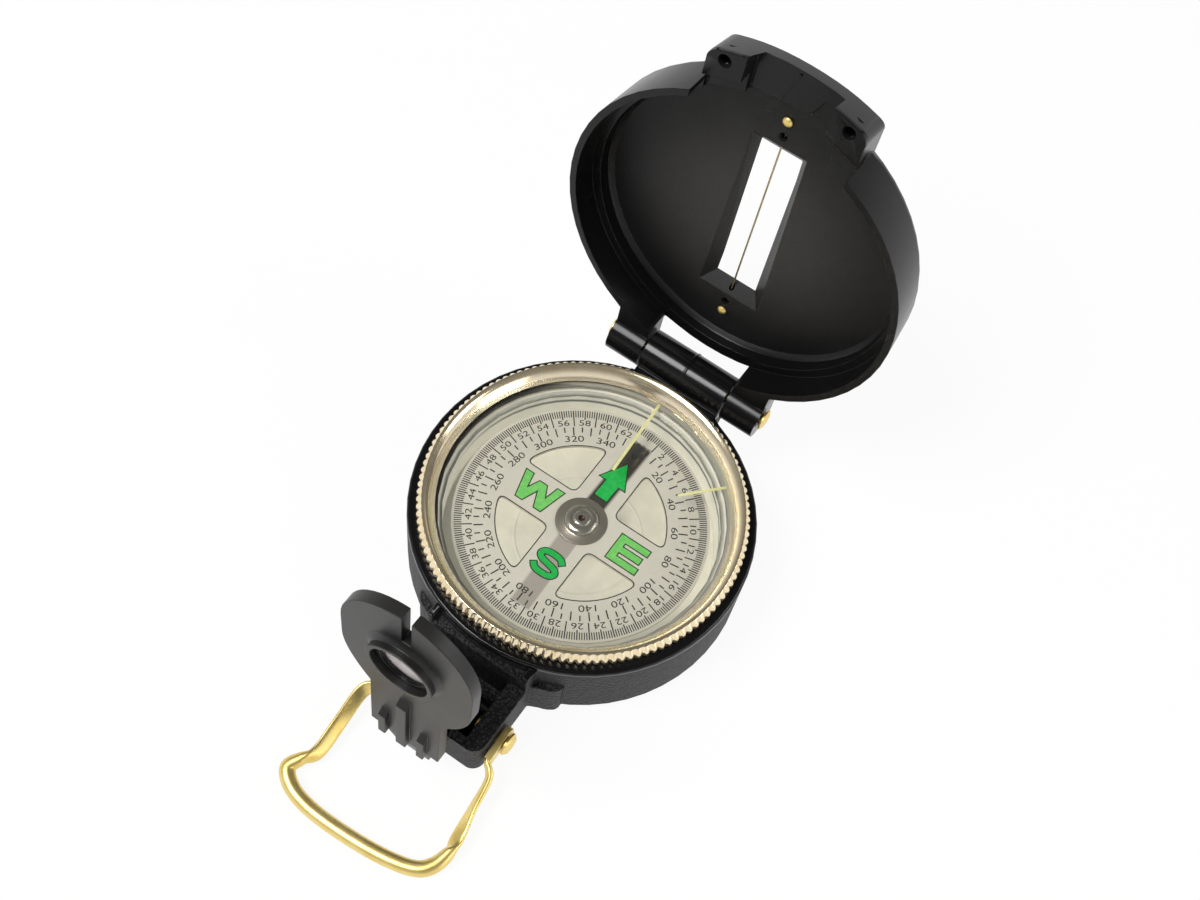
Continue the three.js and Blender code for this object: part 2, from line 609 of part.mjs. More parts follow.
function buildCover() {
  const backRadius = bodyRadius - COVER_DRAFT;
  const shell = turned([
    [0, coverRim], [bodyRadius, coverRim], [backRadius, coverBack - COVER_EDGE],
    [backRadius - COVER_EDGE * 0.3, coverBack - COVER_EDGE * 0.3], [backRadius - COVER_EDGE, coverBack],
    [0, coverBack],
  ]);
  const inner = bodyRadius - COVER_WALL;
  const stepRadius = inner - COVER_STEP_WIDTH;
  const stepHeight = coverRim + COVER_STEP_DEPTH;
  const cavity = turned([
    [0, coverRim - 1], [inner, coverRim - 1], [inner, stepHeight], [stepRadius, stepHeight],
    [stepRadius, coverFloor - COVER_FILLET], [stepRadius - COVER_FILLET, coverFloor], [0, coverFloor],
  ]);

  const earFace = coverFloor - EAR_HEIGHT;
  const tab = joined(raised(coverTabOutline(TAB_REACH), earFace, earFace + TAB_END_HEIGHT, 6),
    raised(coverTabOutline(TAB_BACK_REACH), coverBack - RUN, coverBack, 6)).hull();
  const far = -(bodyRadius + TAB_REACH);
  const stepFace = coverFloor - TAB_STEP_HEIGHT;
  const stepEdge = far + TAB_STEP_LENGTH;
  const root = -inner / 2;
  const belowRim = coverRim - 1;
  const betweenEars = block(-TAB_GAP_HALF, TAB_GAP_HALF, far - 1, root, belowRim, stepFace);
  const behindStep = block(-TAB_GAP_HALF, TAB_GAP_HALF, stepEdge, root, belowRim, coverFloor);
  const pocketEnd = far + TAB_POCKET_INSET;
  const besideStep = raised(outline([
    [TAB_STEP_RIGHT, pocketEnd], [TAB_GAP_HALF, pocketEnd], [TAB_GAP_HALF, stepEdge + 1],
    [TAB_STEP_RIGHT - TAB_STEP_SLANT, stepEdge + 1],
  ]), belowRim, coverFloor);
  const aboveEars = block(-TAB_HALF, TAB_HALF, far - 1, root, belowRim, earFace);
  const beforeEars = block(-TAB_HALF, TAB_HALF, far - 1, root, belowRim, coverFloor - EAR_CLEAR_HEIGHT)
    .intersect(disc(EAR_CLEAR_RADIUS, belowRim, coverFloor));
  const earHoles = [-1, 1].map((side) => disc(EAR_HOLE_RADIUS, earFace - 1, earFace + EAR_HOLE_DEPTH, COARSE)
    .translate(side * EAR_HOLE_X, far + EAR_HOLE_INSET, 0));

  const knuckleInner = HINGE_MIDDLE_HALF + RUN;
  const armTop = hingeZ + HINGE_BARREL_RADIUS;
  const armRoot = Math.sqrt(inner ** 2 - HINGE_OUTER_HALF ** 2);
  const arm = outline([
    [armRoot, coverRim], [hingeY - RUN * 4, coverRim], [hingeY, hingeZ], [hingeY, armTop], [armRoot, armTop],
  ]);
  const knuckles = [-1, 1].map((side) => {
    const from = side < 0 ? -HINGE_OUTER_HALF : knuckleInner;
    const to = side < 0 ? -knuckleInner : HINGE_OUTER_HALF;
    return joined(sideways(arm, from, to), rod(HINGE_BARREL_RADIUS, from, to, hingeY, hingeZ, MEDIUM));
  });
  const knuckleNotch = block(-knuckleInner, knuckleInner, stepRadius - 2, hingeY + HINGE_BARREL_RADIUS + 1,
    coverRim - 1, armTop + 2 * RUN);
  const hingeBore = rod(HINGE_PIN_RADIUS + RUN, -HINGE_OUTER_HALF - 1, HINGE_OUTER_HALF + 1, hingeY, hingeZ);

  const boreWidth = WIRE_RADIUS + RUN;
  const wireBore = solid(new THREE.CylinderGeometry(boreWidth, boreWidth, nearPinY - farPinY, 12)
    .translate(0, (nearPinY + farPinY) / 2, wireHeight));
  const pinBores = [farPinY, nearPinY].map((y) => disc(WIRE_PIN_SHANK_RADIUS + FIT, coverFloor - 1,
    coverBack - COVER_FLOOR * 0.25, COARSE).translate(0, y, 0));
  const portSpots = [SLOT_FAR_END - WIRE_PORT_SET_BACK, SLOT_NEAR_END + WIRE_PORT_SET_BACK];
  const ports = portSpots.map((y) => disc(WIRE_PORT_RADIUS, coverFloor - 1, wireHeight + boreWidth, COARSE)
    .translate(0, y, 0));

  const dish = cut(joined(shell, tab), cavity, betweenEars, behindStep, besideStep, aboveEars, beforeEars,
    knuckleNotch);
  const hinged = joined(dish, ...knuckles.map((knuckle) => cut(knuckle, cavity)));
  return cut(hinged, ...earHoles, hingeBore, sightingSlot(), wireBore, ...pinBores, ...ports);
}

// Sighting wire, stretched across the slot between two brass pins
function buildSightWire() {
  const slack = WIRE_PIN_SHANK_RADIUS + RUN;
  const length = nearPinY - farPinY - 2 * slack;
  return solid(new THREE.CylinderGeometry(WIRE_RADIUS, WIRE_RADIUS, length, 8)
    .translate(0, (nearPinY + farPinY) / 2, wireHeight));
}

function buildWirePin(y) {
  const tip = coverBack - COVER_FLOOR * 0.25 - RUN;
  const seat = coverFloor - FIT;
  return turned([
    [0, seat - WIRE_PIN_HEAD_HEIGHT], [WIRE_PIN_HEAD_RADIUS * 0.6, seat - WIRE_PIN_HEAD_HEIGHT * 0.85],
    [WIRE_PIN_HEAD_RADIUS, seat - WIRE_PIN_HEAD_HEIGHT * 0.3], [WIRE_PIN_HEAD_RADIUS, seat],
    [WIRE_PIN_SHANK_RADIUS, seat], [WIRE_PIN_SHANK_RADIUS, tip], [0, tip],
  ], COARSE).translate(0, y, 0);
}

// Lens bracket, drawn square and upright about its pivot: keyhole plate, collar, ribs and gooseneck leg
const plateRear = -BRACKET_REACH;
const plateFront = plateRear + BRACKET_PLATE;
const lensZ = BRACKET_FOOT_LIFT + LENS_HEIGHT;
const collarRear = plateRear - COLLAR_HEIGHT;

// An outline in the XZ plane, made solid from one Y to another
const UPRIGHT = new THREE.Matrix4().makeBasis(
  new THREE.Vector3(1, 0, 0), new THREE.Vector3(0, 0, 1), new THREE.Vector3(0, -1, 0));

function upright(shape, rear, front, curveSegments = 12) {
  const depth = front - rear;
  const geometry = new THREE.ExtrudeGeometry(shape, { depth, bevelEnabled: false, curveSegments });
  return solid(geometry.applyMatrix4(UPRIGHT).translate(0, front, 0));
}

// A turned profile about the lens axis, its heights measured forwards along Y
const LENSWARD = new THREE.Matrix4().makeBasis(
  new THREE.Vector3(-1, 0, 0), new THREE.Vector3(0, 0, 1), new THREE.Vector3(0, 1, 0));

function aboutLensAxis(profile, segments = MEDIUM) {
  return solid(turnedGeometry(profile, segments).applyMatrix4(LENSWARD).translate(0, 0, lensZ));
}

function buildLensBracket() {
  const foot = BRACKET_FOOT_LIFT;
  const headLow = foot + BRACKET_HEAD_LOW;
  const headHigh = foot + BRACKET_HEAD_HIGH;
  const neck = foot + BRACKET_FOOT_HEIGHT;
  const bend = (headLow + neck) / 2;
  const crown = headHigh + BRACKET_CROWN;
  const plate = new THREE.Shape();
  plate.moveTo(-BRACKET_FOOT_HALF, foot);
  plate.lineTo(BRACKET_FOOT_HALF, foot);
  plate.lineTo(BRACKET_FOOT_HALF, neck);
  plate.quadraticCurveTo(BRACKET_HEAD_HALF, bend, BRACKET_HEAD_HALF, headLow);
  plate.lineTo(BRACKET_HEAD_HALF, headHigh);
  plate.absellipse(0, headHigh, BRACKET_HEAD_HALF, BRACKET_CROWN, 0, Math.PI, false);
  plate.lineTo(-BRACKET_HEAD_HALF, headLow);
  plate.quadraticCurveTo(-BRACKET_HEAD_HALF, bend, -BRACKET_FOOT_HALF, neck);

  const collar = aboutLensAxis([
    [0, collarRear], [COLLAR_RADIUS, collarRear], [COLLAR_RADIUS, plateRear - COLLAR_HEIGHT * 0.4],
    [COLLAR_BASE_RADIUS, plateRear], [COLLAR_BASE_RADIUS, plateRear + BRACKET_PLATE / 2],
    [0, plateRear + BRACKET_PLATE / 2],
  ]);
  const ribs = [-1, 0, 1].map((place) => {
    const half = (place === 0 ? RIB_MIDDLE_WIDTH : RIB_SIDE_WIDTH) / 2;
    const height = place === 0 ? RIB_MIDDLE_HEIGHT : RIB_SIDE_HEIGHT;
    const rib = outline([
      [plateRear + BRACKET_PLATE / 2, foot], [plateRear - RIB_DEPTH, foot],
      [plateRear - RIB_DEPTH, foot + height - RIB_DEPTH], [plateRear, foot + height],
      [plateRear + BRACKET_PLATE / 2, foot + height],
    ]);
    return sideways(rib, place * RIB_SPACING - half, place * RIB_SPACING + half);
  });

  const boss = BRACKET_BOSS_RADIUS;
  const leg = new THREE.Shape();
  leg.moveTo(plateRear, foot);
  leg.lineTo(plateFront, -boss);
  leg.lineTo(0, -boss);
  leg.absarc(0, 0, boss, -Math.PI / 2, Math.PI / 2, false);
  leg.lineTo(plateFront / 2, boss + RUN);
  leg.lineTo(plateFront, foot);
  leg.lineTo(plateFront, foot + BRACKET_PLATE);
  leg.lineTo(plateRear + BRACKET_PLATE / 2, foot + BRACKET_PLATE);

  const notch = block(-NOTCH_HALF, NOTCH_HALF, plateRear - 1, plateFront + 1,
    crown - NOTCH_DEPTH, crown + 1);
  const lensBore = aboutLensAxis([
    [0, collarRear - 1], [LENS_RADIUS + FIT, collarRear - 1], [LENS_RADIUS + FIT, plateFront - LENS_LIP],
    [LENS_APERTURE, plateFront - LENS_LIP], [LENS_APERTURE, plateFront + 1], [0, plateFront + 1],
  ]);
  const pivotBore = rod(BRACKET_PIN_RADIUS + RUN, -BRACKET_LEG_HALF - 1, BRACKET_LEG_HALF + 1, 0, 0);
  const body = joined(upright(plate, plateRear, plateFront), collar, ...ribs,
    sideways(leg, -BRACKET_LEG_HALF, BRACKET_LEG_HALF));
  return cut(body, notch, lensBore, pivotBore);
}

// Magnifier: double convex lens against the bracket's front lip, held by a pressed ring
const lensFront = plateFront - LENS_LIP - LENS_BULGE / 2;
const lensRear = lensFront - LENS_EDGE;

function buildMagnifierLens() {
  const profile = [[0, lensRear - LENS_BULGE]];
  for (const share of [0.5, 0.8]) {
    profile.push([LENS_RADIUS * share, lensRear - LENS_BULGE * (1 - share ** 2)]);
  }
  profile.push([LENS_RADIUS, lensRear], [LENS_RADIUS, lensFront]);
  for (const share of [0.8, 0.5]) {
    profile.push([LENS_RADIUS * share, lensFront + LENS_BULGE * (1 - share ** 2)]);
  }
  profile.push([0, lensFront + LENS_BULGE]);
  return aboutLensAxis(profile, COARSE + 12);
}

function buildRetainerRing() {
  const front = lensRear - RUN;
  const rear = front - RETAINER_THICKNESS;
  const corners = [[LENS_APERTURE, rear], [LENS_RADIUS, rear], [LENS_RADIUS, front], [LENS_APERTURE, front]];
  return aboutLensAxis([...corners, corners[0]]);
}

function buildBracketPin() {
  const reach = ARM_INNER_HALF + BRACKET_PIN_SEAT;
  return rod(BRACKET_PIN_RADIUS, -reach, reach, bracketPivotY, BRACKET_PIVOT_HEIGHT);
}

// Thumb loop, drawn level about its pivot: round wire bent to a bow, its legs hammered flat and leaning out,
// ending in eyes on the rivets
const strapInner = ARM_OUTER_HALF + RUN;
const strapMiddle = strapInner + STRAP_THICKNESS / 2;

// A bar of oval section along a smooth line through stations of [x, y, height, thickness, lean]
function ovalBar(stations, steps, around) {
  const line = new THREE.CatmullRomCurve3(stations.map(([x, y]) => new THREE.Vector3(x, y, 0)));
  const up = new THREE.Vector3(0, 0, 1);
  const places = [];
  const triangles = [];
  const last = stations.length - 1;
  for (let i = 0; i <= steps; i += 1) {
    const t = i / steps;
    const before = Math.min(Math.floor(t * last), last - 1);
    const section = stations[before].map((value, item) => THREE.MathUtils.lerp(
      value, stations[before + 1][item], t * last - before));
    const [, , height, thickness, lean] = section;
    const middle = line.getPoint(t);
    const inward = new THREE.Vector3().crossVectors(line.getTangent(t), up).normalize();
    const tilt = THREE.MathUtils.degToRad(lean);
    const across = inward.clone().multiplyScalar(Math.cos(tilt)).addScaledVector(up, Math.sin(tilt));
    const along = up.clone().multiplyScalar(Math.cos(tilt)).addScaledVector(inward, -Math.sin(tilt));
    for (let j = 0; j < around; j += 1) {
      const angle = 2 * Math.PI * j / around;
      const point = middle.clone().addScaledVector(across, thickness / 2 * Math.cos(angle))
        .addScaledVector(along, height / 2 * Math.sin(angle));
      places.push(point.x, point.y, point.z);
      if (i === steps) continue;
      const here = i * around + j;
      const beside = i * around + (j + 1) % around;
      triangles.push(here, here + around, beside, beside, here + around, beside + around);
    }
  }
  const end = steps * around;
  for (let j = 1; j < around - 1; j += 1) {
    triangles.push(0, j, j + 1, end, end + j + 1, end + j);
  }
  const geometry = new THREE.BufferGeometry();
  geometry.setAttribute('position', new THREE.Float32BufferAttribute(places, 3));
  geometry.setIndex(triangles);
  return solid(geometry);
}

function buildThumbLoop() {
  const bar = -LOOP_LENGTH;
  const wire = 2 * LOOP_WIRE_RADIUS;
  const flat = STRAP_THICKNESS - STRAP_SPARE;
  const wide = STRAP_WIDTH - STRAP_SPARE;
  const legTop = -STRAP_LENGTH - LOOP_JOG;
  const leg = (side, spread, end, twist) => twist.map((lean, i) => {
    const share = i / (twist.length - 1);
    const x = side * (LOOP_LEG_HALF + spread * share);
    return [x, THREE.MathUtils.lerp(legTop, -end, share), LEG_WIDTH, LEG_THICKNESS, lean];
  });
  const strapEnd = (side) => [
    [side * strapMiddle, -STRAP_WIDTH / 2, wide, flat, 0], [side * strapMiddle, -STRAP_LENGTH, wide, flat, 0],
  ];
  const bow = ovalBar([
    ...strapEnd(1),
    ...leg(1, LEG_RIGHT_SPREAD, LEG_RIGHT_END, LEG_RIGHT_TWIST),
    [LOOP_RIGHT_HALF, -LOOP_RIGHT_CORNER, wire, wire * PINCH, 0],
    ...RIGHT_BEND_INSETS.map((inset, i) => [
      LOOP_RIGHT_HALF - inset, bar + RIGHT_BEND_RISES[i], wire, wire, 0,
    ]),
    [LOOP_RIGHT_HALF / 2, bar + BAR_RIGHT_RISE, wire, wire, 0],
    [0, bar + BAR_MIDDLE_RISE, wire, wire, 0],
    [-LOOP_LEFT_HALF / 2, bar, wire, wire, 0],
    [-LOOP_LEFT_HALF + LEFT_BEND_INSET, bar + LEFT_BEND_RISE, wire, wire, 0],
    [-LOOP_LEFT_HALF, -LOOP_LEFT_CORNER, wire, wire, 0],
    [-LOOP_LEFT_HALF + LEFT_JOG_INSET, -(LOOP_LEFT_CORNER + LEG_LEFT_END) / 2, wire, wire * PINCH, 0],
    ...leg(-1, LEG_LEFT_SPREAD, LEG_LEFT_END, LEG_LEFT_TWIST).reverse(),
    ...strapEnd(-1).reverse(),
  ], FINE, COARSE / 2);
  const half = STRAP_WIDTH / 2;
  const eye = new THREE.Shape();
  eye.moveTo(-STRAP_LENGTH, -half);
  eye.lineTo(STRAP_END - STRAP_CORNER, -half);
  eye.quadraticCurveTo(STRAP_END, -half, STRAP_END, -half + STRAP_CORNER);
  eye.lineTo(STRAP_END, half - STRAP_CORNER);
  eye.quadraticCurveTo(STRAP_END, half, STRAP_END - STRAP_CORNER, half);
  eye.lineTo(-STRAP_LENGTH, half);
  const strap = sideways(eye, strapInner, strapInner + STRAP_THICKNESS, 4);
  const holes = rod(RIVET_RADIUS + RUN, -LOOP_LEG_HALF, LOOP_LEG_HALF, 0, 0);
  return cut(joined(bow, strap, strap.mirror([1, 0, 0])), holes);
}

// Rivet: domed head outside the loop's eye, shank through the arm, upset tail in the recess
function buildLoopRivet(side) {
  const tailEnd = ARM_INNER_HALF - FIT - RIVET_TAIL_HEIGHT;
  const head = strapInner + STRAP_THICKNESS + RUN;
  const profile = [
    [0, tailEnd], [RIVET_TAIL_RADIUS, tailEnd], [RIVET_TAIL_RADIUS, ARM_INNER_HALF - FIT],
    [RIVET_RADIUS, ARM_INNER_HALF - FIT], [RIVET_RADIUS, head], [RIVET_HEAD_RADIUS, head],
    [RIVET_HEAD_RADIUS, head + RIVET_HEAD_HEIGHT * 0.3],
    [RIVET_HEAD_RADIUS * 0.7, head + RIVET_HEAD_HEIGHT * 0.8], [0, head + RIVET_HEAD_HEIGHT],
  ];
  const rivet = turnedAlongX(profile, loopPivotY, LOOP_PIVOT_HEIGHT);
  return side > 0 ? rivet : rivet.mirror([1, 0, 0]);
}

// Finishes
const caseBlack = plastic(0x2b2b2d, 0.5);
const coverBlack = plastic(0x303032, 0.5);
const bracketGrey = plastic(0x6d6c6b, 0.45);
const capsuleCream = plastic(0xdedccf, 0.5);
const dialCream = plastic(0xd8d6c8, 0.6);
const rubberBlack = plastic(0x151515, 0.8);
const champagne = metal(0xd9c9a0, 0.3);
const brass = metal(0xd8bf6a, 0.25);
const steel = metal(0xb8b6b2, 0.3);
const magnetGrey = metal(0x5a544e, 0.5);
const ruby = plastic(0x9a1f38, 0.1);
const glass = clear(0xf4f4ee);

const compass = new THREE.Group();
const bezel = buildBezelRing();
const gasketInner = bezel.seat - BEZEL_LEDGE_WIDTH;
const crystalRadius = bezel.seat - FIT;
compass.add(
  piece('base_case', buildCase(), caseBlack),
  piece('capsule_bowl', buildCapsuleBowl(), capsuleCream),
  piece('capsule_gasket', buildCapsuleGasket(), rubberBlack),
  piece('capsule_lid', buildCapsuleLid(), glass),
  piece('pivot_post', buildPivotPost(), steel),
  piece('dial_card', buildDialCard(), dialCream),
  piece('magnet_bar', buildMagnetBar(), magnetGrey),
  piece('bearing_cap', buildBearingCap(), steel),
  piece('jewel', buildJewel(), ruby),
  piece('bezel_snap_ring', buildSnapRing(), steel),
  piece('bezel_ring', bezel.body, champagne),
  piece('crystal_gasket', ring(gasketInner, crystalRadius, crystalGasketBottom,
    crystalGasketBottom + GASKET_THICKNESS, MEDIUM), rubberBlack),
  piece('bezel_crystal', disc(crystalRadius, crystalBottom, crystalTop), glass),
  piece('hinge_pin', buildHingePin(), brass),
  piece('bracket_pin', buildBracketPin(), steel),
  piece('loop_rivet_left', buildLoopRivet(-1), brass),
  piece('loop_rivet_right', buildLoopRivet(1), brass),
);

// Cover raised about its hinge
const cover = new THREE.Group();
cover.position.set(0, hingeY, hingeZ);
cover.rotation.x = -THREE.MathUtils.degToRad(COVER_OPEN_ANGLE);
const fromHinge = (name, body, material) => piece(name, body.translate(0, -hingeY, -hingeZ), material);
cover.add(
  fromHinge('cover_shell', buildCover(), coverBlack),
  fromHinge('sight_wire', buildSightWire(), steel),
  fromHinge('wire_pin_upper', buildWirePin(farPinY), brass),
  fromHinge('wire_pin_lower', buildWirePin(nearPinY), brass),
);
compass.add(cover);

// Lens bracket leaning a little towards the dial
const bracket = new THREE.Group();
bracket.position.set(0, bracketPivotY, BRACKET_PIVOT_HEIGHT);
bracket.rotation.x = -THREE.MathUtils.degToRad(BRACKET_LEAN);
bracket.add(
  piece('lens_bracket', buildLensBracket(), bracketGrey),
  piece('magnifier_lens', buildMagnifierLens(), glass),
  piece('lens_retainer_ring', buildRetainerRing(), coverBlack),
);
compass.add(bracket);

// Thumb loop lying back until its bow rests on the table
const loop = new THREE.Group();
loop.position.set(0, loopPivotY, LOOP_PIVOT_HEIGHT);
loop.rotation.x = Math.asin((LOOP_PIVOT_HEIGHT - LOOP_WIRE_RADIUS) / LOOP_LENGTH);
loop.add(piece('thumb_loop', buildThumbLoop(), brass));
compass.add(loop);

export default compass;
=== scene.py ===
import json
from math import asin, atan2, cos, hypot, pi, radians, sin, sqrt, tau

import bmesh
import bpy
from mathutils import Matrix, Vector


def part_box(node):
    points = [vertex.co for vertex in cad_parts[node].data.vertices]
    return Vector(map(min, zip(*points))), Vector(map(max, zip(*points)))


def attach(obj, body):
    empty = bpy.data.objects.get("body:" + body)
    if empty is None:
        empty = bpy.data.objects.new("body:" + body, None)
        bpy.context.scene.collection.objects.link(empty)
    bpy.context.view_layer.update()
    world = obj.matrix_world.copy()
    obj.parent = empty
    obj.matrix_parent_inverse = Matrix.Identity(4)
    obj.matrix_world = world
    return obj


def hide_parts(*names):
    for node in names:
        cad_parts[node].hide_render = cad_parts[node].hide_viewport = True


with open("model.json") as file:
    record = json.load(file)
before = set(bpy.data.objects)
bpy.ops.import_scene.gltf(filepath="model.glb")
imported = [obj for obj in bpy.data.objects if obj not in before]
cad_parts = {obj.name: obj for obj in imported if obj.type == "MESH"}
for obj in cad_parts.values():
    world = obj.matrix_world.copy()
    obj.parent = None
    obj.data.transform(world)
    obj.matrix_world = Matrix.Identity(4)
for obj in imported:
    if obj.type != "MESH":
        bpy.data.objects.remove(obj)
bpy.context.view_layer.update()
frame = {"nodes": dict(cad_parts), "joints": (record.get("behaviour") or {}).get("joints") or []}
scene = bpy.context.scene
scene.view_settings.view_transform = "Standard"

# Camera: a normal lens above and to the right of the tail, tipped a little, with the frame slid so that
# the open compass fills it as in the photograph.
CAMERA_TURN = radians(24.33)
CAMERA_RISE = radians(64.6)
CAMERA_ROLL = radians(11.27)
CAMERA_DISTANCE = 0.26166
CAMERA_SENSOR = 36
CAMERA_LENS = 46.02
CAMERA_SHIFT_X = 0.0201
CAMERA_SHIFT_Y = 0.0819
to_camera = Vector((sin(CAMERA_TURN) * cos(CAMERA_RISE), -cos(CAMERA_TURN) * cos(CAMERA_RISE),
                    sin(CAMERA_RISE)))
level = Vector((cos(CAMERA_TURN), sin(CAMERA_TURN), 0))
plumb = to_camera.cross(level)
camera_right = level * cos(CAMERA_ROLL) + plumb * sin(CAMERA_ROLL)
camera_up = plumb * cos(CAMERA_ROLL) - level * sin(CAMERA_ROLL)
camera = bpy.data.objects.new("camera", bpy.data.cameras.new("camera"))
scene.collection.objects.link(camera)
facing = Matrix((camera_right, camera_up, to_camera)).transposed().to_4x4()
camera.matrix_world = Matrix.Translation(to_camera * CAMERA_DISTANCE) @ facing
camera.data.sensor_width = CAMERA_SENSOR
camera.data.lens = CAMERA_LENS
camera.data.shift_x = CAMERA_SHIFT_X
camera.data.shift_y = CAMERA_SHIFT_Y
scene.camera = camera


# Studio: a pale table top and a white sweep round it, darker overhead, with one soft box near the camera
# and two weaker ones, behind the cover and low at its side.
class Wire:
    """A value in a node tree. Arithmetic on it adds Math nodes, and node() adds any other."""

    def __init__(self, tree, socket=None):
        self.tree = tree
        self.socket = socket

    def node(self, kind, settings=None, sockets=None, output=0):
        made = self.tree.nodes.new(kind)
        for name, value in (settings or {}).items():
            if name == "stops":
                ramp = made.color_ramp
                while len(ramp.elements) < len(value):
                    ramp.elements.new(1)
                for element, (position, colour) in zip(ramp.elements, value):
                    element.position = position
                    element.color = colour
            else:
                setattr(made, name, value)
        for name, value in (sockets or {}).items():
            if isinstance(value, Wire):
                self.tree.links.new(value.socket, made.inputs[name])
            else:
                made.inputs[name].default_value = value
        return Wire(self.tree, made.outputs[output])

    def also(self, output):
        return Wire(self.tree, self.socket.node.outputs[output])

    def maths(self, operation, first, second=0.0):
        return self.node("ShaderNodeMath", {"operation": operation}, {0: first, 1: second})

    def __add__(self, other):
        return self.maths("ADD", self, other)

    def __radd__(self, other):
        return self.maths("ADD", other, self)

    def __sub__(self, other):
        return self.maths("SUBTRACT", self, other)

    def __rsub__(self, other):
        return self.maths("SUBTRACT", other, self)

    def __mul__(self, other):
        return self.maths("MULTIPLY", self, other)

    def __rmul__(self, other):
        return self.maths("MULTIPLY", other, self)

    def __truediv__(self, other):
        return self.maths("DIVIDE", self, other)

    def __pow__(self, other):
        return self.maths("POWER", self, other)

    def __abs__(self):
        return self.maths("ABSOLUTE", self)

    def __gt__(self, other):
        return self.maths("GREATER_THAN", self, other)

    def __lt__(self, other):
        return self.maths("LESS_THAN", self, other)

    def __or__(self, other):
        return self.maths("MAXIMUM", self, other)

    def ramp(self, low, high):
        """0 below low, 1 above high, and smooth between."""
        return self.node("ShaderNodeMapRange", {"interpolation_type": "SMOOTHSTEP"},
                         {"Value": self, "From Min": low, "From Max": high})


FLOOR_REACH = 2.0
FLOOR_DROP = 0.00005
FLOOR_GLOW = 0.93
FLOOR_PALE = (0.88, 0.88, 0.87, 1)
WHITE = (1, 1, 1, 1)

sheet = bpy.data.meshes.new("table_top")
sheet.from_pydata([(-FLOOR_REACH, -FLOOR_REACH, 0), (FLOOR_REACH, -FLOOR_REACH, 0),
                   (FLOOR_REACH, FLOOR_REACH, 0), (-FLOOR_REACH, FLOOR_REACH, 0)], [], [(0, 1, 2, 3)])
table_top = bpy.data.objects.new("table_top", sheet)
table_top.location.z = -FLOOR_DROP
scene.collection.objects.link(table_top)
paper = bpy.data.materials.new("table_paper")
paper.use_nodes = True
start = Wire(paper.node_tree)
light_path = start.node("ShaderNodeLightPath", output="Is Camera Ray")
seen = light_path | light_path.also("Is Glossy Ray") | light_path.also("Is Transmission Ray")
shaded = start.node("ShaderNodeBsdfDiffuse", None, {"Color": FLOOR_PALE})
glowing = start.node("ShaderNodeEmission", None, {"Color": WHITE, "Strength": 1.0})
mixed = start.node("ShaderNodeMixShader", None, {0: seen * FLOOR_GLOW, 1: shaded, 2: glowing})
paper.node_tree.links.new(mixed.socket, paper.node_tree.nodes["Material Output"].inputs["Surface"])
sheet.materials.append(paper)

SWEEP_STOPS = [(0.0, (0.95, 0.95, 0.95, 1)), (0.2, (0.72, 0.72, 0.73, 1)), (0.45, (0.26, 0.26, 0.27, 1)),
               (0.7, (0.10, 0.10, 0.10, 1)), (1.0, (0.05, 0.05, 0.05, 1))]
sweep = bpy.data.worlds.new("white_sweep")
scene.world = sweep
sweep.use_nodes = True
start = Wire(sweep.node_tree)
direction = start.node("ShaderNodeTexCoord", output="Generated")
height = start.node("ShaderNodeSeparateXYZ", None, {0: direction}, "Z")
tent = start.node("ShaderNodeValToRGB", {"stops": SWEEP_STOPS}, {0: height})
light_path = start.node("ShaderNodeLightPath", output="Is Camera Ray")
clear_view = light_path | light_path.also("Is Transmission Ray")
backdrop = start.node("ShaderNodeMix", {"data_type": "RGBA"}, {0: clear_view, 6: tent, 7: WHITE}, 2)
sweep.node_tree.links.new(backdrop.socket, sweep.node_tree.nodes["Background"].inputs["Color"])

SOFT_BOX_DISTANCE = 0.8


def soft_box(name, direction, size, power):
    """A square lamp that faces the dial from a direction, with its side in metres and its power in watts."""
    lamp = bpy.data.lights.new(name, "AREA")
    lamp.size = size
    lamp.energy = power
    box = bpy.data.objects.new(name, lamp)
    towards = Vector(direction).normalized()
    box.location = towards * SOFT_BOX_DISTANCE
    box.rotation_euler = towards.to_track_quat("Z", "Y").to_euler()
    scene.collection.objects.link(box)


soft_box("soft_box_front", direction=(-0.28, -0.42, 0.86), size=0.34, power=5.9)
soft_box("soft_box_back", direction=(0.72, 0.40, 0.57), size=0.34, power=1.6)
soft_box("soft_box_side", direction=(0.95, -0.05, 0.25), size=0.4, power=0.9)

# Case: one black moulding in filled plastic. The wall and the outsides of the tail have a leather grain
# from the tool, the rim and the recess are left smooth, and the edges are broken with a small radius.
MM = 0.001
CASE_BLACK = (0.0045, 0.0045, 0.005, 1)
CASE_GREY = (0.036, 0.036, 0.039, 1)
GRAIN_SCALE = 2100
GRAIN_DEPTH = 0.00018
GRAIN_WARP = 0.0004
WALL_RADIUS = 28.2
RIM_LINE = 13.4
ARM_SIDE = 9.5
ARM_TOP = 8.4
TAIL_END = -41.9
SHOULDER_LINE = -25
BARREL_RADIUS = 3.9
CREASE_ANGLE = radians(38)
WELD_DISTANCE = 0.004
FLAT_ANGLE = radians(0.6)
CORNER_ANGLE = radians(33)


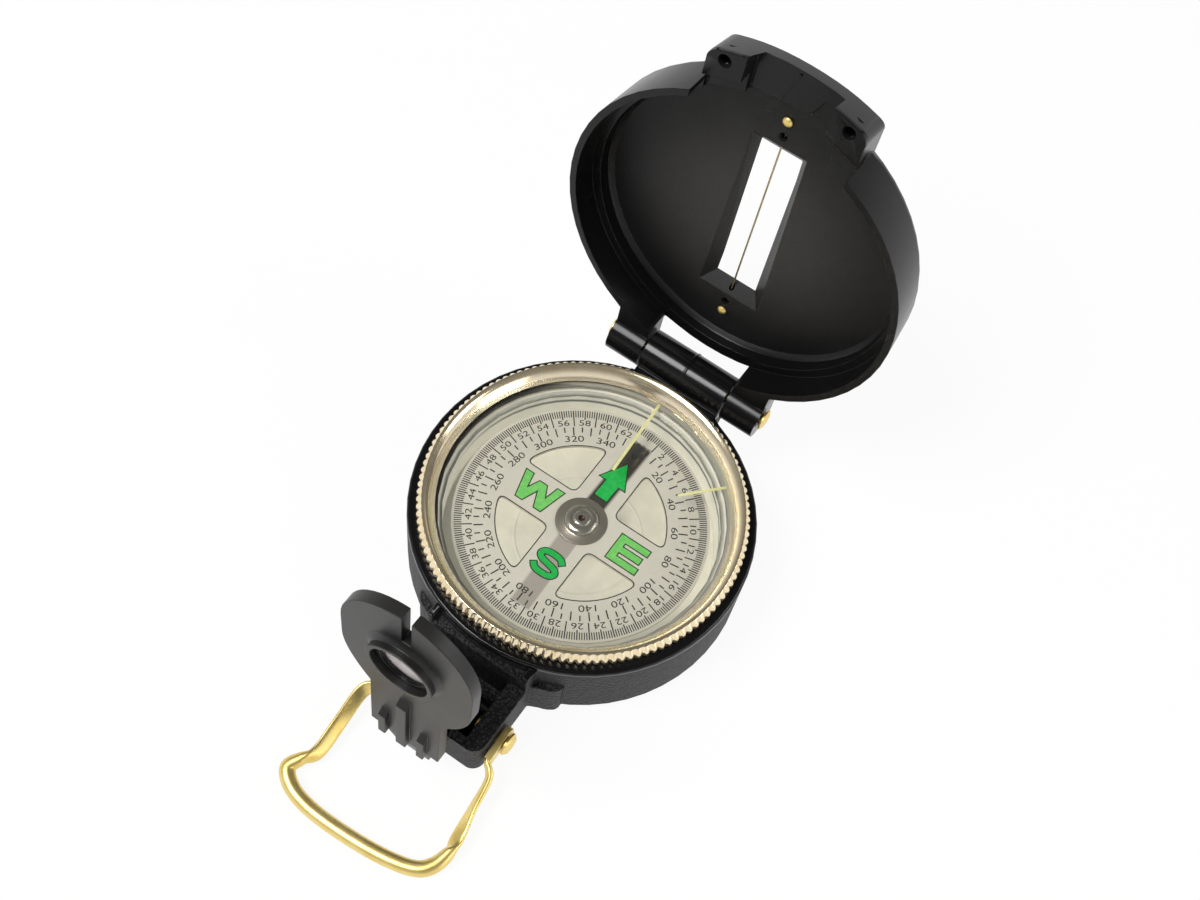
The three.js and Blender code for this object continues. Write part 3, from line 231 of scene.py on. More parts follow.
def shown(name, solid, body, slot, material, *nodes):
    """Makes a piece of a bmesh in metres. It rides on a body and stands for the named nodes."""
    data = bpy.data.meshes.new(name)
    solid.to_mesh(data)
    solid.free()
    data.shade_smooth()
    data.set_sharp_from_angle(angle=CREASE_ANGLE)
    data.materials.append(material)
    made = bpy.data.objects.new(name, data)
    scene.collection.objects.link(made)
    made.modifiers.new("even_faces", "WEIGHTED_NORMAL").keep_sharp = True
    bpy.context.view_layer.update()
    made.data = bpy.data.meshes.new_from_object(made.evaluated_get(bpy.context.evaluated_depsgraph_get()))
    made.modifiers.clear()
    bpy.data.meshes.remove(data)
    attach(made, body)
    if nodes:
        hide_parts(*nodes)
    return made


def moulded(node, edge=0.0, shortest=0.6):
    """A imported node's solid, facets welded, with sharp edges from shortest mm long rounded by edge mm."""
    solid = bmesh.new()
    solid.from_mesh(frame["nodes"][node].data)
    bmesh.ops.remove_doubles(solid, verts=solid.verts, dist=WELD_DISTANCE * MM)
    bmesh.ops.dissolve_limit(solid, angle_limit=FLAT_ANGLE, verts=solid.verts, edges=solid.edges)
    sharp = [line for line in solid.edges if line.is_manifold and line.calc_face_angle(0) > CORNER_ANGLE
             and line.calc_length() > shortest * MM]
    if edge:
        bmesh.ops.bevel(solid, geom=sharp, offset=edge * MM, offset_type="OFFSET", segments=2, profile=0.5,
                        affect="EDGES", clamp_overlap=False)
    return solid


def finish(name, plain, painted):
    """A material with plain shader values, and painted(start) for those that vary over the surface."""
    made = bpy.data.materials.new(name)
    made.use_nodes = True
    shader = made.node_tree.nodes["Principled BSDF"]
    for socket, value in plain.items():
        shader.inputs[socket].default_value = value
    for socket, wire in painted(Wire(made.node_tree)).items():
        made.node_tree.links.new(wire.socket, shader.inputs[socket])
    return made


def rest_place(start):
    """The rest place of a point, as one vector in metres."""
    return start.node("ShaderNodeTexCoord", output="Object")


def place_in_mm(start):
    """The rest place of a point, as that vector and as three values in millimetres."""
    place = rest_place(start)
    x = start.node("ShaderNodeSeparateXYZ", None, {0: place}, "X")
    return place, x / MM, x.also("Y") / MM, x.also("Z") / MM


def distance(first, second):
    """How far a point is from a centre, by its offsets along two axes."""
    return (first * first + second * second) ** 0.5


def blend(start, share, low, high):
    """The low colour where share is 0, the high one where it is 1."""
    return start.node("ShaderNodeMix", {"data_type": "RGBA"}, {0: share, 6: low, 7: high}, 2)


def noise(start, place, scale, detail=3.0):
    """Smooth noise from 0 to 1, with about so many spots to the metre."""
    return start.node("ShaderNodeTexNoise", None, {"Vector": place, "Scale": scale, "Detail": detail})


def leather(start, place, scale):
    """Heights of a moulded leather grain: rounded pebbles with fine creases between them."""
    warp = start.node("ShaderNodeTexNoise", None, {"Vector": place, "Scale": scale * 0.8}, 1)
    bent = start.node("ShaderNodeVectorMath", {"operation": "MULTIPLY_ADD"},
                      {0: warp, 1: (GRAIN_WARP, GRAIN_WARP, GRAIN_WARP), 2: place})
    pebbles = start.node("ShaderNodeTexVoronoi", {"feature": "SMOOTH_F1"},
                         {"Vector": bent, "Scale": scale, "Smoothness": 0.35}, "Distance")
    return 1 - pebbles


def bump(start, height, depth):
    """Normals tipped by a relief of heights from 0 to 1, so many metres deep."""
    return start.node("ShaderNodeBump", None, {"Height": height, "Distance": depth, "Strength": 1.0})


hinge = next(joint for joint in frame["joints"] if joint["name"] == "cover_hinge")
HINGE_Y, HINGE_Z = (value / MM for value in hinge["pos_m"][1:])


def case_paint(start):
    place, x, y, z = place_in_mm(start)
    radius = distance(x, y)
    wall = radius.ramp(WALL_RADIUS, WALL_RADIUS + 0.1) * (1 - z.ramp(RIM_LINE, RIM_LINE + 0.5))
    tail = (y < SHOULDER_LINE) * ((abs(x) > ARM_SIDE) | (y < TAIL_END)) * (1 - z.ramp(ARM_TOP, ARM_TOP + 0.4))
    barrel = distance(y - HINGE_Y, z - HINGE_Z) < BARREL_RADIUS
    grained = (wall | tail) * (1 - barrel)
    grain = leather(start, place, GRAIN_SCALE)
    dust = noise(start, place, 5200, 2.0)
    patches = noise(start, place, 160)
    colour = blend(start, grained * grain.ramp(0.35, 0.95), CASE_BLACK, CASE_GREY)
    rough = 0.2 + 0.1 * patches + 0.3 * grained - 0.08 * barrel
    relief = grain * grained + 0.05 * dust * (1 - barrel)
    return {"Base Color": colour, "Roughness": rough, "Normal": bump(start, relief, GRAIN_DEPTH)}


case_plastic = finish("case_plastic_black", {"Specular IOR Level": 0.3}, case_paint)
shown("case_body", moulded("base_case", edge=0.2), "case", "case_plastic", case_plastic, "base_case")

# Capsule: a cream bowl pressed into the case with a flat seal, a clear lid and the needle that the dial
# turns on. The bowl has a painted glow, an emission that stands in for light coming through its plastic.
# The lid is acrylic, the needle is ground steel.
BOWL_CREAM = (0.62, 0.60, 0.52, 1)
BOWL_SHADE = (0.55, 0.53, 0.46, 1)
BOWL_PAINTED_SHADOW = (0.40, 0.38, 0.33, 1)
BOWL_PAINTED_SHADE = (0.06, 0.065, 0.06, 1)
BOWL_FLOOR_GLOW = (0.10, 0.096, 0.072, 1)
BOWL_WALL_GLOW = (0.20, 0.20, 0.175, 1)
BOWL_FLOOR = 4.95
BOWL_STEP_RADIUS = 10.8
BOWL_WALL_RADIUS = 22
BOWL_SHADE_LINE_LEVEL = 10.6
BOWL_SHADE_LINE_HALF = 0.6
BOWL_SHADE_LINE_FADE = (-8, 14)
BOWL_SHADOW_EDGE = (16.4, 18)
BOWL_SHADOW_FADE = (-6, 4)
BOWL_RELIEF = 0.00008


def bowl_paint(start):
    place, x, y, z = place_in_mm(start)
    radius = distance(x, y)
    clouds = noise(start, place, 300)
    step = 1 - abs(radius - BOWL_STEP_RADIUS).ramp(0.05, 0.3)
    # Painted shade line: a dark line on the wall at the card's level, strongest on the far side, which also
    # dims the glow.
    line = 1 - abs(z - BOWL_SHADE_LINE_LEVEL).ramp(0.1, BOWL_SHADE_LINE_HALF)
    seam = line * (radius > BOWL_WALL_RADIUS) * y.ramp(*BOWL_SHADE_LINE_FADE)
    floor = 1 - z.ramp(BOWL_FLOOR + 0.2, BOWL_FLOOR + 1.5)
    # Painted shadow: the card's shadow on the near part of the floor, darker in colour and without glow.
    corner = floor * radius.ramp(*BOWL_SHADOW_EDGE) * (1 - y.ramp(*BOWL_SHADOW_FADE))
    cream = blend(start, clouds.ramp(0.3, 0.7), BOWL_SHADE, BOWL_CREAM)
    cream = blend(start, corner, cream, BOWL_PAINTED_SHADOW)
    # Painted glow: emission on the floor and wall stands in for light through the bowl. It is dimmed to the
    # painted shade at the shade line, the step ring and the near corner.
    glow = blend(start, floor, BOWL_WALL_GLOW, BOWL_FLOOR_GLOW)
    return {"Base Color": blend(start, seam, cream, BOWL_PAINTED_SHADE),
            "Emission Color": blend(start, seam | (0.3 * step) | corner, glow, BOWL_PAINTED_SHADE),
            "Roughness": 0.42 + 0.12 * clouds,
            "Normal": bump(start, noise(start, place, 4000) * 0.1 + step, BOWL_RELIEF)}


bowl_plastic = finish("bowl_plastic", {"Specular IOR Level": 0.4, "Emission Strength": 1.0}, bowl_paint)
shown("capsule_body", moulded("capsule_bowl", edge=0.12), "case", "capsule_plastic", bowl_plastic,
      "capsule_bowl")

SEAL_BLACK = (0.012, 0.012, 0.012, 1)
SEAL_PALE = (0.42, 0.42, 0.37, 1)
SEAL_OLIVE = (0.36, 0.34, 0.27, 1)
SEAL_SHADE_FADE = (-21, -12)


def seal_finish(name, inner, painted_shade):
    """Clear silicone over metal, darker at its inner edge, with a painted shade so many mm wide on the left.
    """
    def seal_paint(start):
        place, x, y, _ = place_in_mm(start)
        radius = distance(x, y)
        bloom = noise(start, place, 700)
        rubber = blend(start, bloom, SEAL_OLIVE, SEAL_PALE)
        # Painted shade on the left side, spreading the dark inner edge outwards.
        left_shade = painted_shade * (1 - x.ramp(*SEAL_SHADE_FADE))
        edge = (1 - (radius - left_shade).ramp(inner + 0.04, inner + 0.16)) * (0.3 + 0.7 * left_shade)
        return {"Base Color": blend(start, edge, rubber, SEAL_BLACK), "Roughness": 0.4 + 0.2 * bloom}
    return finish(name, {}, seal_paint)


CAPSULE_SEAL_INNER = 22.9
shown("capsule_seal", moulded("capsule_gasket"), "case", "black_seal",
      seal_finish("capsule_silicone", CAPSULE_SEAL_INNER, painted_shade=0), "capsule_gasket")

CRYSTAL_TINT = (0.997, 0.998, 0.994, 1)
CRYSTAL_GLOSS = 0.03
CRYSTAL_SHINE = 0.3
CRYSTAL_HAZE = 0.006
HEAD_ON_SHINE = 0.04


def clear_finish(name):
    """Clear acrylic: light goes straight through, and the surface mirrors more at a slant."""
    made = bpy.data.materials.new(name)
    made.use_nodes = True
    tree = made.node_tree
    start = Wire(tree)
    film = noise(start, rest_place(start), 220).ramp(0.45, 0.8)
    slope = start.node("ShaderNodeLayerWeight", None, {"Blend": 0.5}, "Facing")
    slant = HEAD_ON_SHINE + (1 - HEAD_ON_SHINE) * slope ** 5
    share = slant * CRYSTAL_SHINE + CRYSTAL_HAZE * (0.5 + 0.5 * film)
    through = start.node("ShaderNodeBsdfTransparent", None, {"Color": CRYSTAL_TINT})
    mirror = start.node("ShaderNodeBsdfGlossy", None, {"Color": WHITE, "Roughness": CRYSTAL_GLOSS})
    body = start.node("ShaderNodeMixShader", None, {0: share, 1: through, 2: mirror})
    tree.nodes.remove(tree.nodes["Principled BSDF"])
    tree.links.new(body.socket, tree.nodes["Material Output"].inputs["Surface"])
    return made


crystal_clear = clear_finish("crystal_clear")
STEEL_PALE = (0.62, 0.61, 0.59, 1)
STEEL_DULL = (0.46, 0.45, 0.43, 1)


def steel_paint(start):
    marks = noise(start, rest_place(start), 900)
    return {"Base Color": blend(start, marks, STEEL_DULL, STEEL_PALE), "Roughness": 0.2 + 0.2 * marks}


bright_steel = finish("bright_steel", {"Metallic": 1.0}, steel_paint)


def painted_node(node, material):
    """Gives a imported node, which keeps its own solid, a material."""
    slots = frame["nodes"][node].data.materials
    slots.clear()
    slots.append(material)


painted_node("capsule_lid", crystal_clear)
painted_node("pivot_post", bright_steel)
painted_node("bezel_snap_ring", bright_steel)

# Dial: a cream card with four windows, thin enough to let light through to the bowl and to show the flat
# magnet under it, dark to the north. The print is one dark ink, with mils outside and degrees inside, and
# the letters and the arrow are filled in green.
_, card_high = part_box("dial_card")
PRINT_FACE = card_high.z / MM
CARD_CREAM = (0.64, 0.605, 0.515, 1)
CARD_PALE = (0.70, 0.66, 0.565, 1)
BAND_NORTH = (0.050, 0.046, 0.038, 1)
BAND_GLINT = (0.13, 0.115, 0.075, 1)
BAND_SOUTH = (0.40, 0.36, 0.31, 1)
BAND_HALF = 1.75
BAND_FROM = 2.6
BAND_END = 18.3
BAND_SLANT = 0.022
GLINT_SIDE = 0.8
GLINT_FADE = (11, 17)


def card_paint(start):
    place, x, y, _ = place_in_mm(start)
    fibres = noise(start, place, 600)
    torn = noise(start, place, 900)
    card = blend(start, fibres, CARD_CREAM, CARD_PALE)
    side = x - BAND_SLANT * abs(y)
    beside = 1 - abs(side).ramp(BAND_HALF - 0.35, BAND_HALF + 0.35)
    ragged = y + 1.6 * torn - 0.8
    north = beside * y.ramp(BAND_FROM, BAND_FROM + 0.3) * (1 - ragged.ramp(BAND_END - 0.7, BAND_END))
    south = beside * (1 - y.ramp(-BAND_FROM - 0.3, -BAND_FROM)) * y.ramp(-BAND_END, 0.6 - BAND_END)
    # Painted highlight: a thin pale line along the east side of the south band.
    painted_highlight = (1 - abs(side - BAND_HALF - 0.1).ramp(0.06, 0.16)) * (y < -BAND_FROM)
    # Painted glint: an olive highlight along the north band near its end.
    glint = (1 - abs(side - GLINT_SIDE).ramp(0.1, 0.5)) * y.ramp(*GLINT_FADE) * torn.ramp(0.35, 0.6)
    dark = blend(start, glint, BAND_NORTH, BAND_GLINT)
    with_south = blend(start, south, card, BAND_SOUTH)
    with_highlight = blend(start, painted_highlight * 0.7, with_south, CARD_PALE)
    return {"Base Color": blend(start, north, with_highlight, dark), "Roughness": 0.5 + 0.15 * fibres}


card_plastic = finish("card_plastic", {"Specular IOR Level": 0.3}, card_paint)
shown("dial_face", moulded("dial_card", edge=0.05), "dial", "dial_card", card_plastic, "dial_card")

INK_DARK = (0.022, 0.027, 0.022, 1)
INK_WORN = (0.050, 0.058, 0.046, 1)
INK_THICKNESS = 0.02


def ink_finish(name, dark, worn):
    """A flat ink or paint that has worn in spots from its dark tone to a paler one."""
    def ink_paint(start):
        wear = noise(start, rest_place(start), 1500)
        colour = blend(start, wear.ramp(0.35, 0.75), dark, worn)
        return {"Base Color": colour, "Roughness": 0.55 + 0.1 * wear}
    return finish(name, {"Specular IOR Level": 0.25}, ink_paint)


dial_ink = ink_finish("dial_ink", INK_DARK, INK_WORN)
CARD_TURN = 1.25


def around(degrees, radius):
    """A point of the dial, in mm, by its bearing clockwise from the card's north."""
    turn = radians(degrees + CARD_TURN)
    return radius * sin(turn), radius * cos(turn)


def raised(solid, outline, low, high):
    """Adds a closed plate to a bmesh: an outline in mm, listed anticlockwise, between two heights in mm."""
    lower = [solid.verts.new((x * MM, y * MM, low * MM)) for x, y in outline]
    upper = [solid.verts.new((x * MM, y * MM, high * MM)) for x, y in outline]
    solid.faces.new(upper)
    solid.faces.new(lower[::-1])
    for i, corner in enumerate(lower):
        after = (i + 1) % len(lower)
        solid.faces.new((corner, lower[after], upper[after], upper[i]))


def tick(solid, degrees, inner, outer, width, low, high):
    """Adds a radial line to a bmesh, by its bearing clockwise from north."""
    out = Vector((sin(radians(degrees)), cos(radians(degrees))))
    side = Vector((out.y, -out.x)) * width / 2
    near, far = out * inner, out * outer
    raised(solid, [near - side, near + side, far + side, far - side], low, high)


INK_TOP = PRINT_FACE + INK_THICKNESS
MIL_COUNT = 320
MIL_PER_LINE = 10
MIL_OUTER = 20.93
MIL_LONG_FROM = 17.95
MIL_MIDDLE_FROM = 19.25
MIL_SHORT_FROM = 19.65
MIL_WIDTH = 0.2
MIL_SHORT_WIDTH = 0.17
DEGREE_OUTER = 17.72
DEGREE_LONG_FROM = 16.15
DEGREE_SHORT_FROM = 16.75
DEGREE_WIDTH = 0.22
DEGREE_STEP = 5
ticks = bmesh.new()
for step in range(MIL_COUNT):
    bearing = CARD_TURN + step * 360 / MIL_COUNT
    if step % MIL_PER_LINE == MIL_PER_LINE / 2:
        tick(ticks, bearing, MIL_LONG_FROM, MIL_OUTER, MIL_WIDTH, PRINT_FACE, INK_TOP)
    elif step % MIL_PER_LINE == 0:
        tick(ticks, bearing, MIL_MIDDLE_FROM, MIL_OUTER, MIL_WIDTH, PRINT_FACE, INK_TOP)
    else:
        tick(ticks, bearing, MIL_SHORT_FROM, MIL_OUTER, MIL_SHORT_WIDTH, PRINT_FACE, INK_TOP)
for bearing in range(0, 360, DEGREE_STEP):
    inner = DEGREE_LONG_FROM if bearing % (2 * DEGREE_STEP) == 0 else DEGREE_SHORT_FROM
    tick(ticks, CARD_TURN + bearing, inner, DEGREE_OUTER, DEGREE_WIDTH, PRINT_FACE, INK_TOP)
shown("dial_ticks", ticks, "dial", "dial_card", dial_ink)

NUMBER_STRETCH = 1.4
CAPITAL_SHARE = 0.69
MIL_NUMBER_RADIUS = 18.52
MIL_NUMBER_HEIGHT = 1.05
MIL_NUMBER_COUNT = MIL_COUNT // MIL_PER_LINE
MIL_NUMBER_STEP = 360 / MIL_NUMBER_COUNT
DEGREE_NUMBER_RADIUS = 15.42
DEGREE_NUMBER_HEIGHT = 1.12
DEGREE_NUMBER_STEP = 20


def lettering(words, low, high):
    """A bmesh of flat numbers. Each is its text, cap height, x, y and turn in degrees, in mm."""
    together = bmesh.new()
    for text, size, x, y, turn in words:
        letters = bpy.data.curves.new("letters", "FONT")
        letters.body = text
        letters.size = size * MM / CAPITAL_SHARE
        letters.align_x = "CENTER"
        letters.align_y = "CENTER"
        letters.extrude = (high - low) / 2 * MM
        maker = bpy.data.objects.new("letters", letters)
        scene.collection.objects.link(maker)
        bpy.context.view_layer.update()
        flat = bpy.data.meshes.new_from_object(maker.evaluated_get(bpy.context.evaluated_depsgraph_get()))
        spot = Matrix.Translation((x * MM, y * MM, (low + high) / 2 * MM))
        wide = Matrix.Diagonal((NUMBER_STRETCH, 1, 1, 1))
        flat.transform(spot @ Matrix.Rotation(radians(turn), 4, "Z") @ wide)
        together.from_mesh(flat)
        bpy.data.objects.remove(maker)
        bpy.data.curves.remove(letters)
        bpy.data.meshes.remove(flat)
    return together


mils = [(str(2 * step), MIL_NUMBER_HEIGHT, *around(step * MIL_NUMBER_STEP, MIL_NUMBER_RADIUS),
         -CARD_TURN - step * MIL_NUMBER_STEP) for step in range(1, MIL_NUMBER_COUNT)]
bearings = [(str(step), DEGREE_NUMBER_HEIGHT, *around(step, DEGREE_NUMBER_RADIUS), -CARD_TURN - step)
            for step in range(0, 360, DEGREE_NUMBER_STEP)]
shown("dial_numbers", lettering(mils + bearings, PRINT_FACE, INK_TOP), "dial", "dial_card", dial_ink)

GREEN_LIGHT = (0.17, 0.60, 0.13, 1)
GREEN_LIGHT_WORN = (0.24, 0.66, 0.18, 1)
GREEN_DEEP = (0.012, 0.46, 0.07, 1)
GREEN_DEEP_WORN = (0.03, 0.51, 0.10, 1)
LETTER_LINE = 0.2
FILL_TOP = INK_TOP + INK_THICKNESS
LETTER_W = [
    (-12.75, 2.55), (-11.45, -2.5), (-10.2, -2.5), (-9.0, 0.5), (-7.8, -2.5), (-6.5, -2.5), (-5.2, 2.55),
    (-6.5, 2.55), (-7.15, -0.3), (-8.3, 2.0), (-9.7, 2.0), (-10.8, -0.3), (-11.4, 2.55),
]
LETTER_E = [
    (6.75, 2.2), (6.75, -2.8), (12.3, -2.8), (12.3, -1.7), (8.05, -1.7), (8.05, -0.85), (11.9, -0.85),
    (11.9, 0.25), (8.05, 0.25), (8.05, 1.1), (12.3, 1.1), (12.3, 2.2),
]
LETTER_S_LINE = [
    (2.0, -8.45), (1.25, -7.75), (-0.1, -7.55), (-1.5, -7.75), (-2.1, -8.45), (-1.55, -9.15), (-0.1, -9.5),
    (1.35, -9.85), (1.9, -10.55), (1.3, -11.25), (-0.1, -11.45), (-1.5, -11.25), (-2.2, -10.5),
]
LETTER_S_WIDTH = 0.95
LETTER_S_STEPS = 4
ARROW = [
    (-1.2, 5.55), (1.2, 5.55), (1.2, 8.95), (2.45, 8.95), (0, 13.4), (-2.45, 8.95), (-1.2, 8.95),
]


def smooth_line(stations, steps):
    """Points on a smooth line through stations, with so many steps between two of them."""
    ends = [stations[0]] + list(stations) + [stations[-1]]
    points = []
    for before, first, second, after in zip(ends, ends[1:], ends[2:], ends[3:]):
        for step in range(steps):
            t = step / steps
            points.append(tuple(
                b + 0.5 * t * (c - a + t * (2 * a - 5 * b + 4 * c - d + t * (3 * b - a - 3 * c + d)))
                for a, b, c, d in zip(before, first, second, after)))
    return points + [tuple(stations[-1])]


def grown(outline, by):
    """An outline of (x, y), listed anticlockwise, moved outwards by so many mm all round."""
    corners = [Vector(point) for point in outline]
    made = []
    for before, here, after in zip(corners[-1:] + corners, corners, corners[1:] + corners[:1]):
        first = (here - before).normalized()
        second = (after - here).normalized()
        out = Vector((first.y + second.y, -first.x - second.x))
        made.append(here + out * by / (1 + first.dot(second)))
    return made


def stroke(line, width):
    """The outline, listed anticlockwise, of a stroke along a line of (x, y)."""
    points = [Vector(point) for point in line]
    left = []
    right = []
    for before, here, after in zip(points[:1] + points, points, points[1:] + points[-1:]):
        ahead = (after - before).normalized()
        left.append(here + Vector((-ahead.y, ahead.x)) * width / 2)
        right.append(here + Vector((ahead.y, -ahead.x)) * width / 2)
    return right + left[::-1]


def printed(name, outlines, low, high, ink):
    """Makes a piece of the dial's print from outlines in mm, between two heights."""
    solid = bmesh.new()
    for outline in outlines:
        raised(solid, outline, low, high)
    shown(name, solid, "dial", "dial_card", ink)


card_turn = Matrix.Rotation(-radians(CARD_TURN), 2)
arrow = [card_turn @ Vector(point) for point in ARROW]
letter_s = stroke(smooth_line(LETTER_S_LINE, LETTER_S_STEPS), LETTER_S_WIDTH)
printed("letter_edges", [grown(outline, LETTER_LINE) for outline in (LETTER_W, LETTER_E, letter_s, arrow)],
        PRINT_FACE, INK_TOP, dial_ink)
printed("letters_east_west", [LETTER_W, LETTER_E], INK_TOP, FILL_TOP,
        ink_finish("green_light", GREEN_LIGHT, GREEN_LIGHT_WORN))
printed("letter_south_and_arrow", [letter_s, arrow], INK_TOP, FILL_TOP,
        ink_finish("green_deep", GREEN_DEEP, GREEN_DEEP_WORN))

WINDOW_SIDE = 3.95
WINDOW_OUTER = 14.1
WINDOW_CORNER = 1.2
WINDOW_LINE = 0.2
WINDOW_ARC_STEPS = 12
WINDOW_LINE_GAP = 0.02


def window_outline(grow):
    """The outline of the north-east window, grown outwards a little."""
    side, outer, corner = WINDOW_SIDE - grow, WINDOW_OUTER + grow, WINDOW_CORNER + grow
    reach = sqrt(outer ** 2 - side ** 2)
    first = atan2(side, reach) + corner / outer
    points = []

    def rounded(start, middle, end):
        """Adds a rounded corner, from start to end and drawn towards middle."""
        for share in (0, 0.25, 0.5, 0.75, 1):
            away = 1 - share
            points.append(tuple(away * away * a + 2 * away * share * b + share * share * c
                                for a, b, c in zip(start, middle, end)))

    rounded((side, side + corner), (side, side), (side + corner, side))
    rounded((reach - corner, side), (reach, side), (outer * cos(first), outer * sin(first)))
    for step in range(1, WINDOW_ARC_STEPS):
        angle = first + (pi / 2 - 2 * first) * step / WINDOW_ARC_STEPS
        points.append((outer * cos(angle), outer * sin(angle)))
    rounded((outer * sin(first), outer * cos(first)), (side, reach), (side, reach - corner))
    return points


window_edges = bmesh.new()
for quarter in range(4):
    turn = Matrix.Rotation(quarter * pi / 2, 2)
    inner = [turn @ Vector(point) for point in window_outline(WINDOW_LINE_GAP)]
    outer = [turn @ Vector(point) for point in window_outline(WINDOW_LINE)]
    for i, corner in enumerate(inner):
        after = (i + 1) % len(inner)
        raised(window_edges, [corner, outer[i], outer[after], inner[after]], PRINT_FACE, INK_TOP)
bmesh.ops.recalc_face_normals(window_edges, faces=window_edges.faces)
shown("window_edges", window_edges, "dial", "dial_card", dial_ink)
lets_light_through = ("dial_face", "dial_ticks", "dial_numbers", "letter_edges", "letters_east_west",
                      "letter_south_and_arrow", "window_edges")
for name in lets_light_through:
    scene.objects[name].visible_shadow = False

# Dial bearing: a turned cap of dull white metal over the card, bored at its crown where the jewel shows,
# with the magnet clamped under the card on its stem.
CAP_GAP = 0.05
CAP_SEAT = PRINT_FACE + CAP_GAP
CAP_SIDES = 72
STEM_FOOT = 8.7


def turned(profile, segments):
    """A closed ring turned about Z, as a bmesh, from (radius, height) points in mm, listed anticlockwise."""
    solid = bmesh.new()
    rings = []
    angles = [tau * i / segments for i in range(segments)]
    for radius, height in profile:
        rings.append([solid.verts.new((radius * cos(angle) * MM, radius * sin(angle) * MM, height * MM))
                      for angle in angles])
    for lower, upper in zip(rings, rings[1:] + rings[:1]):
        for i in range(segments):
            after = (i + 1) % segments
            solid.faces.new((lower[i], lower[after], upper[after], upper[i]))
    return solid


CAP_PALE = (0.60, 0.57, 0.50, 1)
CAP_DULL = (0.42, 0.39, 0.33, 1)
SKIRT_DULL = (0.32, 0.29, 0.24, 1)
SKIRT_FROM = 2.85
LATHE_PITCH = 26
LATHE_DEPTH = 0.000006


def cap_paint(start):
    place, x, y, _ = place_in_mm(start)
    radius = distance(x, y)
    rings = start.maths("SINE", radius * LATHE_PITCH) * 0.5 + 0.5
    worn = noise(start, place, 1800)
    skirt = radius.ramp(SKIRT_FROM, SKIRT_FROM + 0.1)
    metal = blend(start, 0.35 * rings + 0.65 * worn, CAP_DULL, CAP_PALE)
    return {"Base Color": blend(start, skirt, metal, SKIRT_DULL),
            "Metallic": 0.8 - 0.2 * skirt, "Roughness": 0.2 + 0.08 * worn + 0.1 * skirt,
            "Normal": bump(start, rings, LATHE_DEPTH)}


cap_metal = finish("cap_metal", {}, cap_paint)
cap_profile = [
    (1.3, STEM_FOOT), (2.3, STEM_FOOT), (2.3, CAP_SEAT), (4.25, CAP_SEAT), (4.35, CAP_SEAT + 0.1),
    (4.27, CAP_SEAT + 0.22), (4.05, CAP_SEAT + 0.28), (3.0, CAP_SEAT + 0.32), (2.85, CAP_SEAT + 0.4),
    (2.72, CAP_SEAT + 0.8), (2.5, CAP_SEAT + 1.02), (2.1, CAP_SEAT + 1.14), (1.75, CAP_SEAT + 1.18),
    (1.6, CAP_SEAT + 1.1), (1.48, CAP_SEAT + 1.12), (1.38, CAP_SEAT + 1.3), (1.15, CAP_SEAT + 1.4),
    (0.85, CAP_SEAT + 1.44), (0.62, CAP_SEAT + 1.4), (0.55, CAP_SEAT + 1.25), (0.55, CAP_SEAT + 0.85),
    (1.3, CAP_SEAT + 0.85),
]
shown("dial_bearing", turned(cap_profile, CAP_SIDES), "dial", "steel", cap_metal, "bearing_cap")

RUBY = (0.09, 0.04, 0.02, 1)
RUBY_DEEP = (0.03, 0.014, 0.01, 1)


def ruby_paint(start):
    clouds = noise(start, rest_place(start), 1200)
    return {"Base Color": blend(start, clouds, RUBY_DEEP, RUBY), "Roughness": 0.08 + 0.05 * clouds}


painted_node("jewel", finish("jewel_red", {}, ruby_paint))
MAGNET_BARE = (0.16, 0.14, 0.12, 1)
MAGNET_NORTH = (0.022, 0.020, 0.016, 1)


def magnet_paint(start):
    place, _, y, _ = place_in_mm(start)
    scale = noise(start, place, 800)
    ends = blend(start, y.ramp(-1, 1), MAGNET_BARE, MAGNET_NORTH)
    return {"Base Color": ends, "Roughness": 0.4 + 0.25 * scale, "Metallic": 0.5 + 0.3 * scale}


painted_node("magnet_bar", finish("magnet_steel", {}, magnet_paint))
frame["nodes"]["magnet_bar"].visible_shadow = False

# Bezel: an aluminium ring anodised to a pale champagne, ribbed round its outer slope for the fingers, with a
# smooth cone inside that holds the crystal down on its seal.
BEZEL_GOLD = (0.86, 0.71, 0.46, 1)
BEZEL_PALE = (0.91, 0.79, 0.56, 1)
CONE_PALE = (0.86, 0.76, 0.58, 1)
RIB_COUNT = 126
RIB_DEPTH = 0.36
RIB_STEPS = 8
RIB_SHARPNESS = 1.6
# Each point of the bezel's outline is its radius, its height and its share of the ribs' depth.
BEZEL_FOOT = [
    (24.3, 11.65, 0), (25.4, 11.65, 0), (25.4, 11.85, 0), (24.9, 11.85, 0), (24.9, 13.15, 0),
    (25.4, 13.15, 0), (25.4, 15.2, 0),
]
BEZEL_SLOPE = [
    (26.75, 15.2, 0.6), (26.95, 15.3, 1), (27.0, 15.5, 1), (27.0, 16.3, 1), (26.9, 16.6, 1),
    (26.75, 16.85, 0.95), (26.55, 17.1, 0.85), (26.38, 17.32, 0.7), (26.26, 17.48, 0.4), (26.16, 17.57, 0.15),
]
BEZEL_CONE = [
    (26.05, 17.59, 0), (25.85, 17.53, 0), (25.6, 17.41, 0), (25.3, 17.2, 0), (25.0, 16.9, 0),
    (24.7, 16.52, 0), (24.4, 16.06, 0), (24.15, 15.6, 0), (23.98, 15.25, 0),
]
BEZEL_LEDGE = [
    (24.0, 15.2, 0), (24.7, 15.2, 0), (24.7, 13.75, 0), (23.6, 13.75, 0), (23.6, 13.35, 0), (24.3, 13.35, 0),
]
CONE_INNER = (24.3, 25.3)
CONE_RIM = (25.8, 26.1)
BEZEL_GRAIN = 0.000002
bezel_outline = BEZEL_FOOT + BEZEL_SLOPE + BEZEL_CONE + BEZEL_LEDGE
